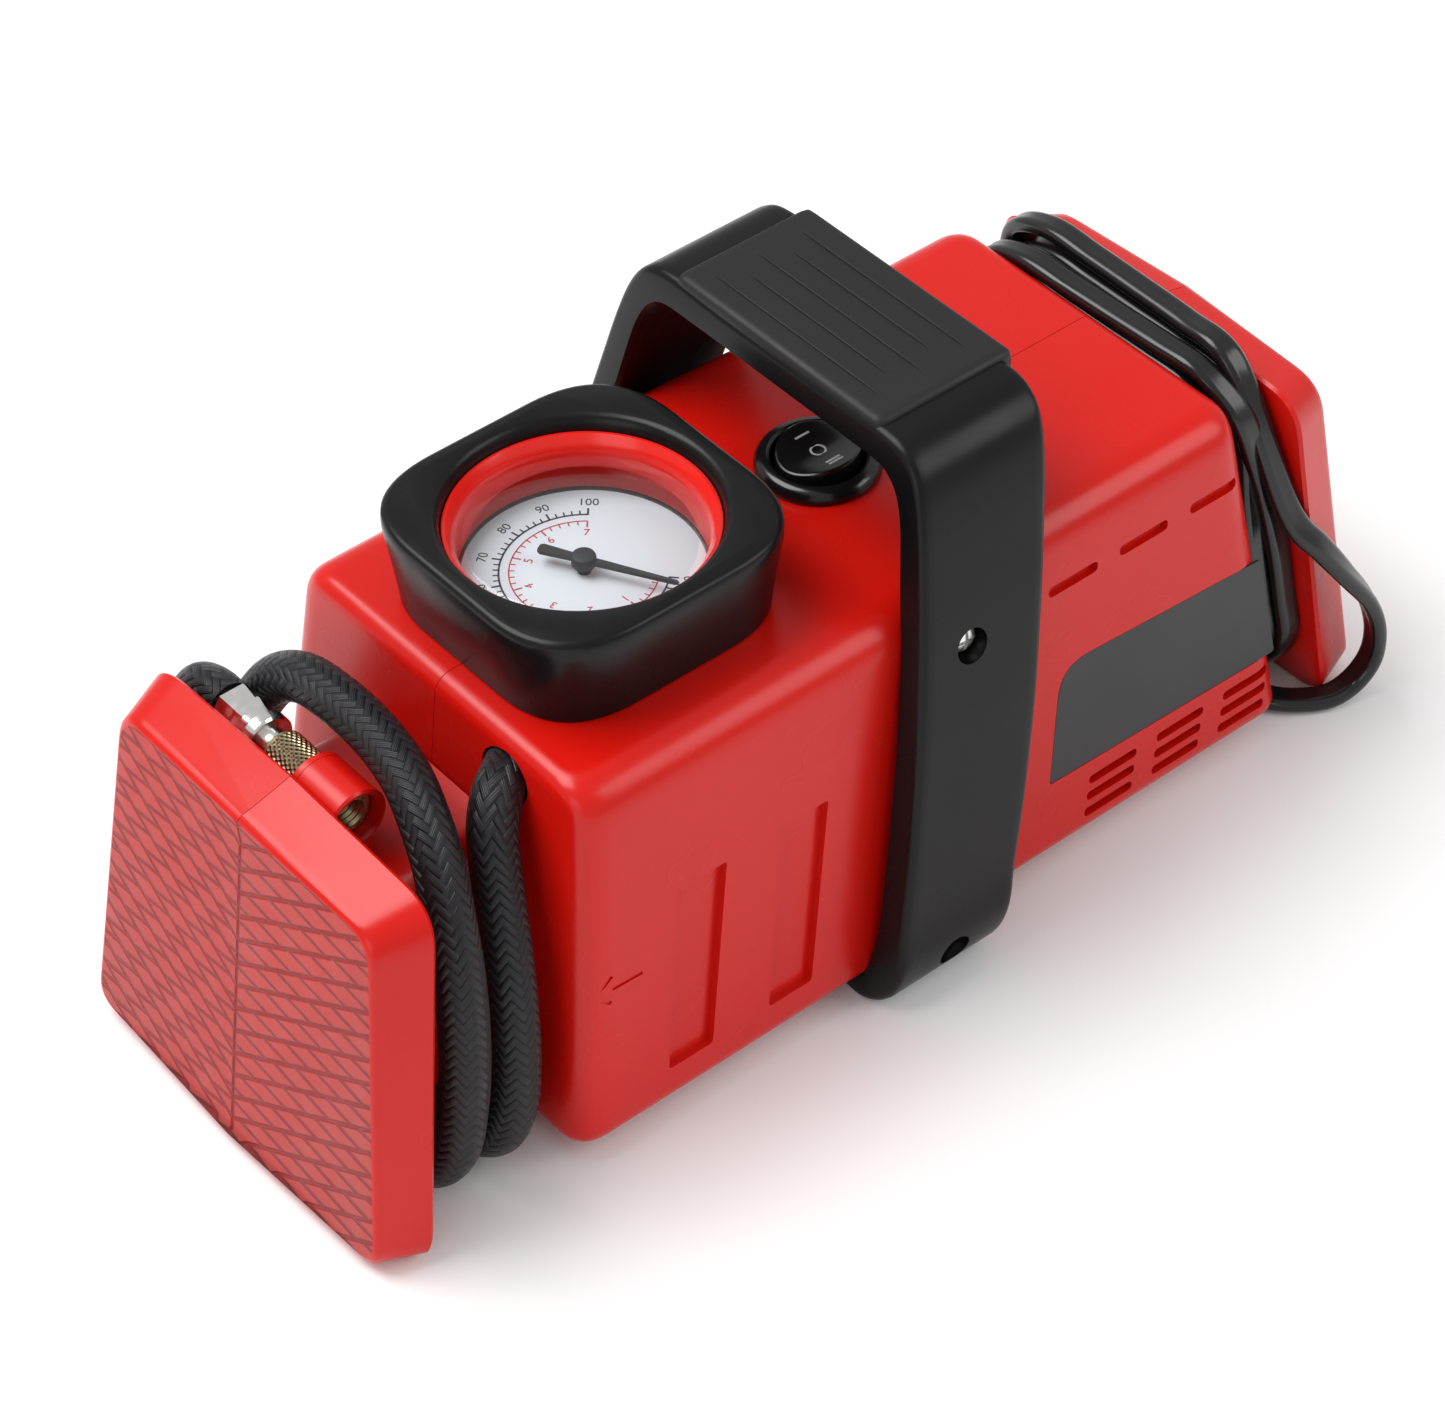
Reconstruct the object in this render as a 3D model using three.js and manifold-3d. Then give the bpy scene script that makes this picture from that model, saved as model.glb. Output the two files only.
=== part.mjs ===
// Portable air compressor: a red clamshell housing between two reel plates, a black strap with a
// rubber grip, a pressure gauge, a rocker switch, a braided hose and a mains cord wound on the reels,
// and the motor, gears and piston pump inside.
// Millimetres. +X runs from the hose end to the cord end, +Z is up, and the floor is z = 0.
import * as THREE from 'three';
import { mergeVertices } from 'three/addons/utils/BufferGeometryUtils.js';
import Module from 'manifold-3d';

const wasm = await Module();
wasm.setup();

// ---------------------------------------------------------------- driving dimensions
const GAP = 0.3;                 // between touching pieces
const SEAM = 0.15;               // half of the gap between the two housing halves
const WALL = 2.5;                // housing wall

const BODY_BOTTOM = 4;
const BODY_TOP = 81;
const BODY_EDGE = 4.5;           // rounding of the housing's edges
const FRONT_TOP_X = -68.3;       // the ends slope outwards towards the floor
const FRONT_SLOPE = 0.1145;
const REAR_TOP_X = 84.8;
const REAR_SLOPE = 0.17;
const HALF_WIDTH_TOP = 40.1;     // half width of the front part at the top
const SIDE_SLOPE = 0.087;
const REAR_NARROWING = 1.2;      // the rear part is this much narrower on each side
const STEP_START = 0;            // the narrowing happens under the strap
const STEP_END = 26;

const PLATE_FOOT_X = 119;        // outer face of an end plate at the floor
const PLATE_LEAN = 0.1354;
const PLATE_THICK = 10.5;
const PLATE_TOP = 76;
const PLATE_PEAK = 77.2;
const PLATE_HALF_TOP = 39.6;
const PLATE_HALF_BOTTOM = 45.6;
const NECK_BOTTOM = 13;
const NECK_TOP = 62;
const NECK_HALF_TOP = 19;
const NECK_HALF_BOTTOM = 25;

const GAUGE_X = -35.8;
const BEZEL_HALF = 29;
const BEZEL_TOP = 100.5;
const BEZEL_CORNER = 15;
const OPENING_R = 25;
const DIAL_Z = 86.5;
const NEEDLE_ANGLE = -61;        // degrees from +X, at zero pressure

const SWITCH_X = 17.3;
const SWITCH_R = 11.55;
const ROCKER_PIVOT_Z = 79;

const STRAP_TOP = 112.6;
const STRAP_LEAN = 0.17;
const STRAP_FOOT_X = -12;
const STRAP_WIDTH_FOOT = 27;
const STRAP_WIDTH_TOP = 29.4;
const GRIP_HALF = 27.2;
const GRIP_X = [7, 38.2];
const GRIP_Z = [104.2, 113.1];

const HOSE_D = 9;
const CHUCK_X = -93.4;
const CHUCK_Z = 71.6;
const HOLDER_R = 6;              // the tube on the front reel that stores the chuck
const HOLDER_BORE_R = 4.75;
const CORD_R = 1.75;             // the loose stretches of the flat mains cord, as a round cord
const PLUG_Y = 75.5;
const PLUG_Z = 7.1;
const GROMMET_Y = -24;
const GROMMET_Z = 48;

const MOTOR_Z = 28;
const MOTOR_R = 17.5;
const MOTOR_FRONT = 4;
const MOTOR_BACK = 56;
const SHAFT_R = 1.5;
const PINION_TEETH = 8;
const GEAR_TEETH = 40;
const PINION_R = 4;              // pitch radii
const GEAR_R = PINION_R * GEAR_TEETH / PINION_TEETH;
const CRANK_Y = -14.4;
const CRANK_Z = MOTOR_Z + Math.sqrt((GEAR_R + PINION_R) ** 2 - CRANK_Y ** 2);
const THROW = 6;
const ROD_LENGTH = 27;
const WRIST_Y = CRANK_Y + Math.sqrt(ROD_LENGTH ** 2 - THROW ** 2);
const CYLINDER_X = -20.2;
const PISTON_R = 9.2;

// ---------------------------------------------------------------- helpers
const X = new THREE.Vector3(1, 0, 0);
const Y = new THREE.Vector3(0, 1, 0);
const Z = new THREE.Vector3(0, 0, 1);
const DOWN_Y = new THREE.Vector3(0, -1, 0);

function solid(geometry) {
  const bare = geometry.clone();
  bare.deleteAttribute('normal');
  bare.deleteAttribute('uv');
  const merged = mergeVertices(bare, 1e-4);
  const mesh = new wasm.Mesh({
    numProp: 3,
    vertProperties: new Float32Array(merged.attributes.position.array),
    triVerts: new Uint32Array(merged.index.array),
  });
  return new wasm.Manifold(mesh);
}

function surface(body) {
  const mesh = body.getMesh();
  const geometry = new THREE.BufferGeometry();
  geometry.setAttribute('position', new THREE.BufferAttribute(new Float32Array(mesh.vertProperties), 3));
  geometry.setIndex(new THREE.BufferAttribute(new Uint32Array(mesh.triVerts), 1));
  return geometry;
}

const join = (first, ...rest) => surface(rest.reduce((sum, g) => sum.add(solid(g)), solid(first)));
const cut = (first, ...rest) => surface(rest.reduce((sum, g) => sum.subtract(solid(g)), solid(first)));
const common = (a, b) => surface(solid(a).intersect(solid(b)));

// moves every vertex of a geometry by a function of its place
function warp(geometry, move) {
  const p = geometry.attributes.position;
  for (let i = 0; i < p.count; i++) {
    const [x, y, z] = move(p.getX(i), p.getY(i), p.getZ(i));
    p.setXYZ(i, x, y, z);
  }
  return geometry;
}

const shearX = (geometry, slope) => warp(geometry, (x, y, z) => [x + slope * z, y, z]);

function box(x, y, z) {
  const g = new THREE.BoxGeometry(x[1] - x[0], y[1] - y[0], z[1] - z[0]);
  return g.translate((x[0] + x[1]) / 2, (y[0] + y[1]) / 2, (z[0] + z[1]) / 2);
}

// a straight bar of circular section between two points
function bar(from, to, radius, sides = 20, endRadius = radius) {
  const a = new THREE.Vector3(...from);
  const b = new THREE.Vector3(...to);
  const g = new THREE.CylinderGeometry(endRadius, radius, a.distanceTo(b), sides);
  g.applyQuaternion(new THREE.Quaternion().setFromUnitVectors(Y, b.clone().sub(a).normalize()));
  const middle = a.add(b).multiplyScalar(0.5);
  return g.translate(middle.x, middle.y, middle.z);
}

// an outline through corner points, each corner rounded by its own radius
function rounded(corners, radius) {
  const shape = new THREE.Shape();
  const n = corners.length;
  corners.forEach(([x, y, own], i) => {
    const corner = new THREE.Vector2(x, y);
    const before = new THREE.Vector2(...corners[(i + n - 1) % n].slice(0, 2));
    const after = new THREE.Vector2(...corners[(i + 1) % n].slice(0, 2));
    const r = own ?? radius;
    const start = corner.clone().add(before.sub(corner).setLength(r));
    const end = corner.clone().add(after.sub(corner).setLength(r));
    if (i === 0) shape.moveTo(start.x, start.y);
    else shape.lineTo(start.x, start.y);
    if (r > 0) shape.quadraticCurveTo(corner.x, corner.y, end.x, end.y);
  });
  shape.closePath();
  return shape;
}

const rectangle = (x, y, radius) => rounded([[x[0], y[0]], [x[1], y[0]], [x[1], y[1]], [x[0], y[1]]], radius);

// extrudes an outline from a to b, with both ends bevelled inwards
function extrude(shape, a, b, { bevel = 0, steps = 3, curve = 4 } = {}) {
  const g = new THREE.ExtrudeGeometry(shape, {
    depth: b - a - 2 * bevel,
    bevelEnabled: bevel > 0,
    bevelThickness: bevel,
    bevelSize: bevel,
    bevelOffset: -bevel,
    bevelSegments: steps,
    curveSegments: curve,
  });
  return g.translate(0, 0, a + bevel);
}

const basis = (...axes) => new THREE.Matrix4().makeBasis(...axes);
// outline in (y, z), extruded along +X
const alongX = (shape, a, b, options) => extrude(shape, a, b, options).applyMatrix4(basis(Y, Z, X));
// outline in (x, z), extruded from y = a to y = b
const alongY = (shape, a, b, options) => extrude(shape, -b, -a, options).applyMatrix4(basis(X, Z, DOWN_Y));

// a closed ring or disc about a line along Z, from a profile of [radius, z] points
function turned(profile, sides = 48) {
  const points = profile.map(([r, z]) => new THREE.Vector2(r, z));
  const g = new THREE.LatheGeometry(points, sides);
  return g.rotateX(Math.PI / 2);
}

// a ring about Z: outer and inner radius, bottom and top
function ring(outer, inner, bottom, top, sides = 40) {
  return turned([[inner, bottom], [outer, bottom], [outer, top], [inner, top], [inner, bottom]], sides);
}

// a tube along a smooth line through hand-placed points
function tube(points, section, steps) {
  const path = new THREE.CatmullRomCurve3(points.map((p) => new THREE.Vector3(...p)), false, 'centripetal');
  const options = { steps, bevelEnabled: false, extrudePath: path, curveSegments: 2 };
  return new THREE.ExtrudeGeometry(section, options);
}

function polygon(radius, sides) {
  const shape = new THREE.Shape();
  for (let i = 0; i < sides; i++) {
    const a = 2 * Math.PI * i / sides;
    const point = [radius * Math.cos(a), radius * Math.sin(a)];
    if (i === 0) shape.moveTo(...point);
    else shape.lineTo(...point);
  }
  shape.closePath();
  return shape;
}

const group = new THREE.Group();
const colours = {
  red: [0xd8140f, 0.38, 0],
  black: [0x17181a, 0.45, 0],
  rubber: [0x1c1d1f, 0.75, 0],
  braid: [0x15171a, 0.8, 0],
  brass: [0xb49a5a, 0.35, 0.9],
  chrome: [0xd0d0d0, 0.15, 1],
  steel: [0x9a9da0, 0.35, 0.9],
  aluminium: [0xb8bbbe, 0.45, 0.8],
  white: [0xf2f2f0, 0.5, 0],
  clear: [0xe8eef0, 0.05, 0],
  board: [0x1f5a2e, 0.6, 0],
  nylon: [0xe6e2d6, 0.5, 0],
  label: [0x2c2d2f, 0.5, 0],
};

function add(name, geometry, colour) {
  const [color, roughness, metalness] = colours[colour];
  const mesh = new THREE.Mesh(geometry, new THREE.MeshStandardMaterial({ color, roughness, metalness }));
  mesh.name = name;
  group.add(mesh);
}

// ---------------------------------------------------------------- housing
const frontX = (z) => FRONT_TOP_X - FRONT_SLOPE * (BODY_TOP - z);
const rearX = (z) => REAR_TOP_X + REAR_SLOPE * (BODY_TOP - z);

function halfWidth(x, z) {
  const step = THREE.MathUtils.clamp((x - STEP_START) / (STEP_END - STEP_START), 0, 1);
  return HALF_WIDTH_TOP + SIDE_SLOPE * (BODY_TOP - z) - REAR_NARROWING * step;
}

// the housing as a block with sloping ends and sides, shrunk by an inset
function bodyBlock(inset, bevel) {
  const nominal = 100;
  const outline = rounded([
    [-nominal, -nominal], [STEP_START, -nominal, 0], [STEP_END, -nominal, 0], [nominal, -nominal],
    [nominal, nominal], [STEP_END, nominal, 0], [STEP_START, nominal, 0], [-nominal, nominal],
  ], 6);
  const g = extrude(outline, BODY_BOTTOM + inset, BODY_TOP - inset, { bevel, steps: 2, curve: 3 });
  return warp(g, (x, y, z) => {
    const end = x < 0 ? -frontX(z) - inset : rearX(z) - inset;
    const edge = nominal - Math.abs(x) < 12 ? Math.sign(x) * (end - (nominal - Math.abs(x))) : x;
    const width = halfWidth(edge, z) - inset;
    return [edge, Math.sign(y) * Math.max(0, width - (nominal - Math.abs(y))), z];
  });
}

// a cutter that follows the sloping side: outline in (x, z), from depth a (outside) to depth b (inside)
function sidePocket(shape, side, outside, inside, curve = 4) {
  const g = alongY(shape, -outside, inside, { curve });
  const placed = warp(g, (x, y, z) => [x, -(halfWidth(x, z) - y), z]);
  return side < 0 ? placed : mirrored(placed);
}

function mirrored(geometry) {
  const g = geometry.index ? geometry.toNonIndexed() : geometry.clone();
  const p = g.attributes.position;
  for (let i = 0; i < p.count; i += 3) {
    const [ax, ay, az] = [p.getX(i), p.getY(i), p.getZ(i)];
    p.setXYZ(i, p.getX(i + 1), -p.getY(i + 1), p.getZ(i + 1));
    p.setXYZ(i + 1, ax, -ay, az);
    p.setY(i + 2, -p.getY(i + 2));
  }
  return g;
}

// the hose's middle line, from the fitting inside the housing, twice round the front reel, to its chuck
const HOSE_ROUTE = [
  [-58, -10, 67.4], [-63, -14.6, 71], [-68, -19, 73.2], [-73, -22.6, 73.4], [-76.5, -25.5, 69.6],
  [-78.5, -28.8, 61.4], [-80.5, -32.8, 51.4], [-82.5, -36.4, 41], [-84, -38.5, 28.7], [-85.3, -38.6, 18.4],
  [-86.6, -35.4, 9.6], [-87.8, -28, 5.3], [-88.6, -14, 4.9], [-88.8, 0, 4.9], [-88.8, 14, 4.9],
  [-88.8, 28, 5.4], [-88.4, 36, 9.8], [-88, 39.6, 19], [-87.4, 39.6, 31], [-86.7, 37.6, 44],
  [-85.9, 34, 56], [-84.8, 29, 67], [-83.9, 23.6, 74], [-83.3, 17, 78], [-83, 9, 79.3],
  [-83, 1, 79.4], [-83.6, -7, 78.9], [-85, -14.5, 77.8], [-87, -21, 75.6], [-89, -27, 71.4],
  [-91.2, -32.2, 64.4], [-92.9, -36.4, 54.5], [-94.4, -38.8, 41.5], [-96, -39.4, 27.6], [-97.4, -37.6, 15],
  [-98.4, -32.4, 7.4], [-98.9, -24, 4.9], [-99, -10, 4.9], [-99, 6, 4.9], [-98.9, 22, 4.9],
  [-98.4, 33, 8.2], [-97.8, 38.4, 17], [-97, 40.8, 30], [-96, 41.4, 43], [-94.9, 40.6, 55],
  [-93.9, 38, 64], [-93.5, 34.6, 69.6], [-93.4, 30.4, 71.5], [CHUCK_X, 26, CHUCK_Z],
];

// a level slot with round ends
function slot(x, z, length, height) {
  return rectangle([x, x + length], [z - height / 2, z + height / 2], height / 2);
}

const UPPER_SLOTS = [36.8, 54.2, 71.8];   // blind grooves
const VENT_COLUMNS = [45.8, 63.2, 80.6];
const VENT_ROWS = [17, 13.4, 9.8];
const PANELS = [-51, -28];       // top front corner of each sunk panel
const PANEL_LEAN = 0.145;
const PANEL_Z = [12.6, 51.2];
const SCREW_BOSS_R = 4.2;
const FAR = 200;                 // reach of the block that keeps one half

const CASE_SCREWS = [[-60, 52], [-63, 16], [76, 70], [84, 12]];
const STRAP_SCREWS = [[12, 73.2], [3.6, 8.2]];
const SCREW_HEAD_R = 3;
const SCREW_SHANK_R = 1.5;

// the block that keeps one side of the seam
function halfSpace(side) {
  const y = side < 0 ? [-FAR, -SEAM] : [SEAM, FAR];
  return solid(box([-FAR, FAR], y, [-FAR, FAR]));
}

function housingHalf(side) {
  const outer = solid(bodyBlock(0, BODY_EDGE));
  let shell = outer.subtract(solid(bodyBlock(WALL, 0)));
  for (const [x, z] of CASE_SCREWS) {
    const boss = bar([x, -50, z], [x, 50, z], SCREW_BOSS_R, 8);
    shell = shell.add(outer.intersect(solid(boss)));
  }
  for (const [x, z] of STRAP_SCREWS) {
    const boss = bar([x, 28 * side, z], [x, 50 * side, z], 3.6, 8);
    shell = shell.add(outer.intersect(solid(boss)));
  }
  shell = shell.intersect(halfSpace(side));
  const cuts = [
    bar([GAUGE_X, 0, 70], [GAUGE_X, 0, 90], 23.6, 32),
    bar([SWITCH_X, 0, 70], [SWITCH_X, 0, 90], 10.1, 24),
    tube(HOSE_ROUTE.slice(0, 5), polygon(HOSE_D / 2 + 0.5, 16), 6),
    bar([80, GROMMET_Y, GROMMET_Z], [100, GROMMET_Y, GROMMET_Z], 2.8, 16),
  ];
  // the last slot and vent column give way to the screws on the far side
  const columns = side < 0 ? 3 : 2;
  for (const x of UPPER_SLOTS.slice(0, columns)) {
    cuts.push(sidePocket(slot(x, 66, 12, 2.2), side, 3, 1.4, 2));
  }
  for (const x of VENT_COLUMNS.slice(0, columns)) {
    VENT_ROWS.forEach((z, row) => cuts.push(sidePocket(slot(x - 0.7 * row, z, 12.2, 1.9), side, 3, 4, 2)));
  }
  for (const x of PANELS) {
    const [bottom, top] = PANEL_Z;
    const foot = x - PANEL_LEAN * (top - bottom);
    const panel = rounded([[foot, bottom], [foot + 10, bottom], [x + 11, top], [x, top]], 1);
    cuts.push(sidePocket(panel, side, 2, 0.9, 2));
  }
  if (side < 0) cuts.push(sidePocket(labelOutline(0.3), side, 2, 0.9, 4));
  for (const [x, z] of CASE_SCREWS) {
    cuts.push(bar([x, -20, z], [x, 60, z], SCREW_SHANK_R + 0.2, 10));
    cuts.push(bar([x, halfWidth(x, z) - 5, z], [x, 60, z], SCREW_HEAD_R + 0.3, 14));
  }
  for (const [x, z] of STRAP_SCREWS) {
    cuts.push(bar([x, 31 * side, z], [x, 60 * side, z], SCREW_SHANK_R + 0.2, 10));
  }
  return surface(cuts.reduce((sum, g) => sum.subtract(solid(g)), shell));
}

function labelOutline(grow) {
  return rounded([
    [36 - grow, 22 - grow, 1], [94.2 + grow, 20.6 - grow, 1],
    [90.2 + grow, 44.6 + grow, 1], [39.4 - grow, 47.8 + grow, 8],
  ], 1);
}

add('housing_left', housingHalf(-1), 'red');
add('housing_right', housingHalf(1), 'red');
add('label_plate', sidePocket(labelOutline(0), -1, -0.1, 0.6, 4), 'label');

// ---------------------------------------------------------------- reels: an end plate on a hollow neck
const plateOutline = (inset) => rounded([
  [-PLATE_HALF_BOTTOM + inset, inset, 7], [PLATE_HALF_BOTTOM - inset, inset, 7],
  [PLATE_HALF_TOP - inset, PLATE_TOP - inset, 8], [0, PLATE_PEAK - inset, 0],
  [-PLATE_HALF_TOP + inset, PLATE_TOP - inset, 8],
], 7);
const neckOutline = (inset) => rounded([
  [-NECK_HALF_BOTTOM + inset, NECK_BOTTOM + inset], [NECK_HALF_BOTTOM - inset, NECK_BOTTOM + inset],
  [NECK_HALF_TOP - inset, NECK_TOP - inset], [-NECK_HALF_TOP + inset, NECK_TOP - inset],
], 5);

// the reel at the hose end; end = -1 for the hose end and 1 for the cord end
function reelHalf(end, side) {
  const slope = -end * PLATE_LEAN;
  const bodyFoot = end < 0 ? frontX(0) : rearX(0);
  const bodySlope = end < 0 ? FRONT_SLOPE : -REAR_SLOPE;
  const outer = end * PLATE_FOOT_X;
  const inner = end * (PLATE_FOOT_X - PLATE_THICK);
  const span = (a, b) => [Math.min(a, b), Math.max(a, b)];
  const layer = (outline, a, b, lean, options) => shearX(alongX(outline, ...span(a, b), options), lean);
  const plate = layer(plateOutline(0), outer, inner, slope, { bevel: 2.4, steps: 2, curve: 4 });
  const plateHollow = layer(plateOutline(4), outer - end * WALL, inner + end * WALL, slope, { curve: 2 });
  const neck = layer(neckOutline(0), inner + end * 3, bodyFoot + end * GAP, bodySlope, { curve: 2 });
  const hollow = layer(neckOutline(WALL), inner + end * 4, bodyFoot - end * 5, bodySlope, { curve: 2 });
  let reel = solid(plate).add(solid(neck));
  if (end < 0) {
    reel = reel.add(solid(bar([CHUCK_X, -11, CHUCK_Z], [CHUCK_X, 1.6, CHUCK_Z], HOLDER_R, 24)));
    reel = reel.add(solid(box([CHUCK_X - 3, CHUCK_X + 3], [-9, 1], [NECK_TOP - 3, CHUCK_Z - 5])));
  }
  reel = reel.subtract(solid(plateHollow)).subtract(solid(hollow));
  if (end < 0) {
    reel = reel.subtract(solid(bar([CHUCK_X, -30, CHUCK_Z], [CHUCK_X, 30, CHUCK_Z], HOLDER_BORE_R, 24)));
  }
  return surface(reel.intersect(halfSpace(side)));
}

for (const [end, where] of [[-1, 'hose'], [1, 'cord']]) {
  add(`${where}_reel_left`, reelHalf(end, -1), 'red');
  add(`${where}_reel_right`, reelHalf(end, 1), 'red');
}

// ---------------------------------------------------------------- strap, grip and strap screws
const strapEdge = (z) => STRAP_FOOT_X + STRAP_LEAN * z;
const strapWidth = (z) => STRAP_WIDTH_FOOT + (STRAP_WIDTH_TOP - STRAP_WIDTH_FOOT) * z / STRAP_TOP;
const leanStrap = (g) => warp(g, (x, y, z) => [strapEdge(z) + x * strapWidth(z), y, z]);

function strapSolid() {
  const outer = rounded([[-56.8, 0, 11], [56.8, 0, 11], [39, STRAP_TOP, 16], [-39, STRAP_TOP, 16]], 10);
  const sideAt = (z) => halfWidth(-20, z) + GAP;
  const inner = rounded([
    [-sideAt(4), BODY_BOTTOM - GAP, 5], [sideAt(4), BODY_BOTTOM - GAP, 5], [sideAt(74), 74, 2],
    [34.2, 105.3, 10], [-34.2, 105.3, 10], [-sideAt(74), 74, 2],
  ], 5);
  const loop = solid(leanStrap(alongX(outer, 0, 1, { curve: 5 })));
  let strap = loop.subtract(solid(leanStrap(alongX(inner, -0.2, 1.2, { curve: 4 }))));
  const thin = [
    box([-30, 60], [-GRIP_HALF - GAP, GRIP_HALF + GAP], [111, 130]),
    box([-30, 60], [-GRIP_HALF - GAP, GRIP_HALF + GAP], [95, 106.6]),
    box([-30, GRIP_X[0] + 2.4], [-GRIP_HALF - GAP, GRIP_HALF + GAP], [100, 130]),
    box([GRIP_X[1] - 4, 80], [-GRIP_HALF - GAP, GRIP_HALF + GAP], [100, 130]),
  ];
  for (const piece of thin) strap = strap.subtract(solid(piece));
  for (const side of [-1, 1]) {
    for (const [x, z] of STRAP_SCREWS) {
      const seat = halfWidth(x, z) + 2.2;
      strap = strap.subtract(solid(bar([x, 35 * side, z], [x, 70 * side, z], SCREW_SHANK_R + 0.2, 10)));
      strap = strap.subtract(solid(bar([x, seat * side, z], [x, 70 * side, z], SCREW_HEAD_R + 0.5, 18)));
    }
  }
  return surface(strap);
}

function gripSolid() {
  const options = { bevel: 0.8, steps: 1, curve: 3 };
  const block = alongY(rectangle(GRIP_X, GRIP_Z, 2), -GRIP_HALF, GRIP_HALF, options);
  const core = box([GRIP_X[0] + 2.1, GRIP_X[1] - 3.7], [-60, 60], [106.3, 111.3]);
  const ridges = [[13, 24], [17.5, 20], [22.5, 24], [27.5, 20], [32, 24]].map(([x, half]) => (
    box([x - 0.4, x + 0.4], [-half, half], [GRIP_Z[1] - 0.5, GRIP_Z[1] + 0.45])));
  return cut(join(block, ...ridges), core);
}

add('handle_strap', strapSolid(), 'black');
add('handle_grip', gripSolid(), 'rubber');

let screwNumber = 1;
for (const side of [-1, 1]) {
  for (const [x, z] of STRAP_SCREWS) {
    const seat = halfWidth(x, z) + 2.5;
    const screw = join(
      bar([x, 33 * side, z], [x, (seat + 0.5) * side, z], SCREW_SHANK_R, 10),
      bar([x, seat * side, z], [x, (seat + 1.8) * side, z], SCREW_HEAD_R, 16, 2.4),
    );
    add(`strap_screw_${screwNumber++}`, screw, 'chrome');
  }
}
CASE_SCREWS.forEach(([x, z], i) => {
  const seat = halfWidth(x, z) - 4.7;
  const screw = join(
    bar([x, -18, z], [x, seat + 0.5, z], SCREW_SHANK_R, 10),
    bar([x, seat, z], [x, seat + 2, z], SCREW_HEAD_R, 14, 2.4),
  );
  add(`case_screw_${i + 1}`, screw, 'steel');
});

// ---------------------------------------------------------------- gauge
function bezelSolid() {
  const base = BODY_TOP + GAP;
  const outline = rectangle([-BEZEL_HALF, BEZEL_HALF], [-BEZEL_HALF, BEZEL_HALF], BEZEL_CORNER);
  const block = warp(extrude(outline, base, BEZEL_TOP, { bevel: 1.6, steps: 2, curve: 6 }), (x, y, z) => {
    const k = 1 - 0.075 * THREE.MathUtils.clamp((BEZEL_TOP - 2 - z) / (BEZEL_TOP - 2 - base), 0, 1);
    return [x * k, y * k, z];
  });
  const bore = turned([
    [0, base - 1], [23.9, base - 1], [23.9, 95], [24.4, 97.5], [OPENING_R, BEZEL_TOP + 0.1],
    [OPENING_R, 110], [0, 110],
  ], 48);
  return cut(block, bore).translate(GAUGE_X, 0, 0);
}

add('gauge_bezel', bezelSolid(), 'black');
const onGauge = (profile, sides) => turned(profile, sides).translate(GAUGE_X, 0, 0);
add('gauge_ring', onGauge([
  [21.9, 87], [23.5, 87], [23.5, 94.6], [24.1, 97.4], [23.2, 97.7], [21.9, 95.2], [21.9, 87],
], 36), 'red');
add('gauge_case', onGauge([
  [0, 76], [22.5, 76], [23.2, 77], [23.2, 86.4], [21.5, 86.4], [21.5, 84.6], [2, 84.6], [2, 83], [0, 83],
], 32), 'steel');
add('gauge_dial', ring(21.3, 1.2, 85.3, DIAL_Z, 32).translate(GAUGE_X, 0, 0), 'white');
add('gauge_lens', onGauge([
  [0, 93.2], [19.9, 93.2], [19.9, 86.9], [21.6, 86.9], [21.6, 94.8], [20.8, 95.4], [0, 95.4],
], 36), 'clear');

function needleSolid() {
  const hub = join(bar([0, 0, 83.4], [0, 0, 90.3], 0.9, 12), bar([0, 0, 88.2], [0, 0, 90.3], 2.1, 20));
  const blade = rounded([
    [-8.4, -1.1, 0.4], [0, -0.9, 0], [17.6, -0.3, 0.2], [17.6, 0.3, 0.2], [0, 0.9, 0], [-8.4, 1.1, 0.4],
  ], 0.2);
  const needle = join(hub, extrude(blade, 88.8, 89.5, { curve: 2 }));
  return needle.rotateZ(THREE.MathUtils.degToRad(NEEDLE_ANGLE)).translate(GAUGE_X, 0, 0);
}

add('gauge_needle', needleSolid(), 'black');
add('gauge_stem', join(
  bar([GAUGE_X, 0, 66.3], [GAUGE_X, 0, 75.7], 3.5, 16),
  bar([GAUGE_X, 0, 68], [GAUGE_X, 0, 73], 6, 6),
), 'brass');

// ---------------------------------------------------------------- rocker switch
function switchSolid() {
  const seat = BODY_TOP + GAP;
  const flange = turned([[0, seat], [SWITCH_R, seat], [SWITCH_R, 82.4], [10.6, 83.6], [0, 83.6]], 36);
  const barrel = bar([0, 0, 60], [0, 0, 82], 9.7, 32);
  const pocket = bar([0, 0, 70], [0, 0, 90], 8.6, 32);
  const tabs = [-5, 0, 5].map((y) => box([-2.4, 2.4], [y - 0.4, y + 0.4], [53, 61]));
  return cut(join(flange, barrel, ...tabs), pocket).translate(SWITCH_X, 0, 0);
}

function rockerSolid() {
  const profile = rounded([
    [-4.5, 75.5], [4.5, 75.5], [7.2, 80], [7.2, 86, 0.7], [0, 84.5, 0], [-7.2, 86, 0.7], [-7.2, 80],
  ], 0.5);
  const plan = extrude(polygon(1, 36), 70, 90).scale(8.1, 7.25, 1);
  return common(alongX(profile, -9, 9, { curve: 2 }), plan).translate(SWITCH_X, 0, 0);
}

add('switch_housing', switchSolid(), 'black');
add('switch_rocker', rockerSolid(), 'black');

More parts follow.
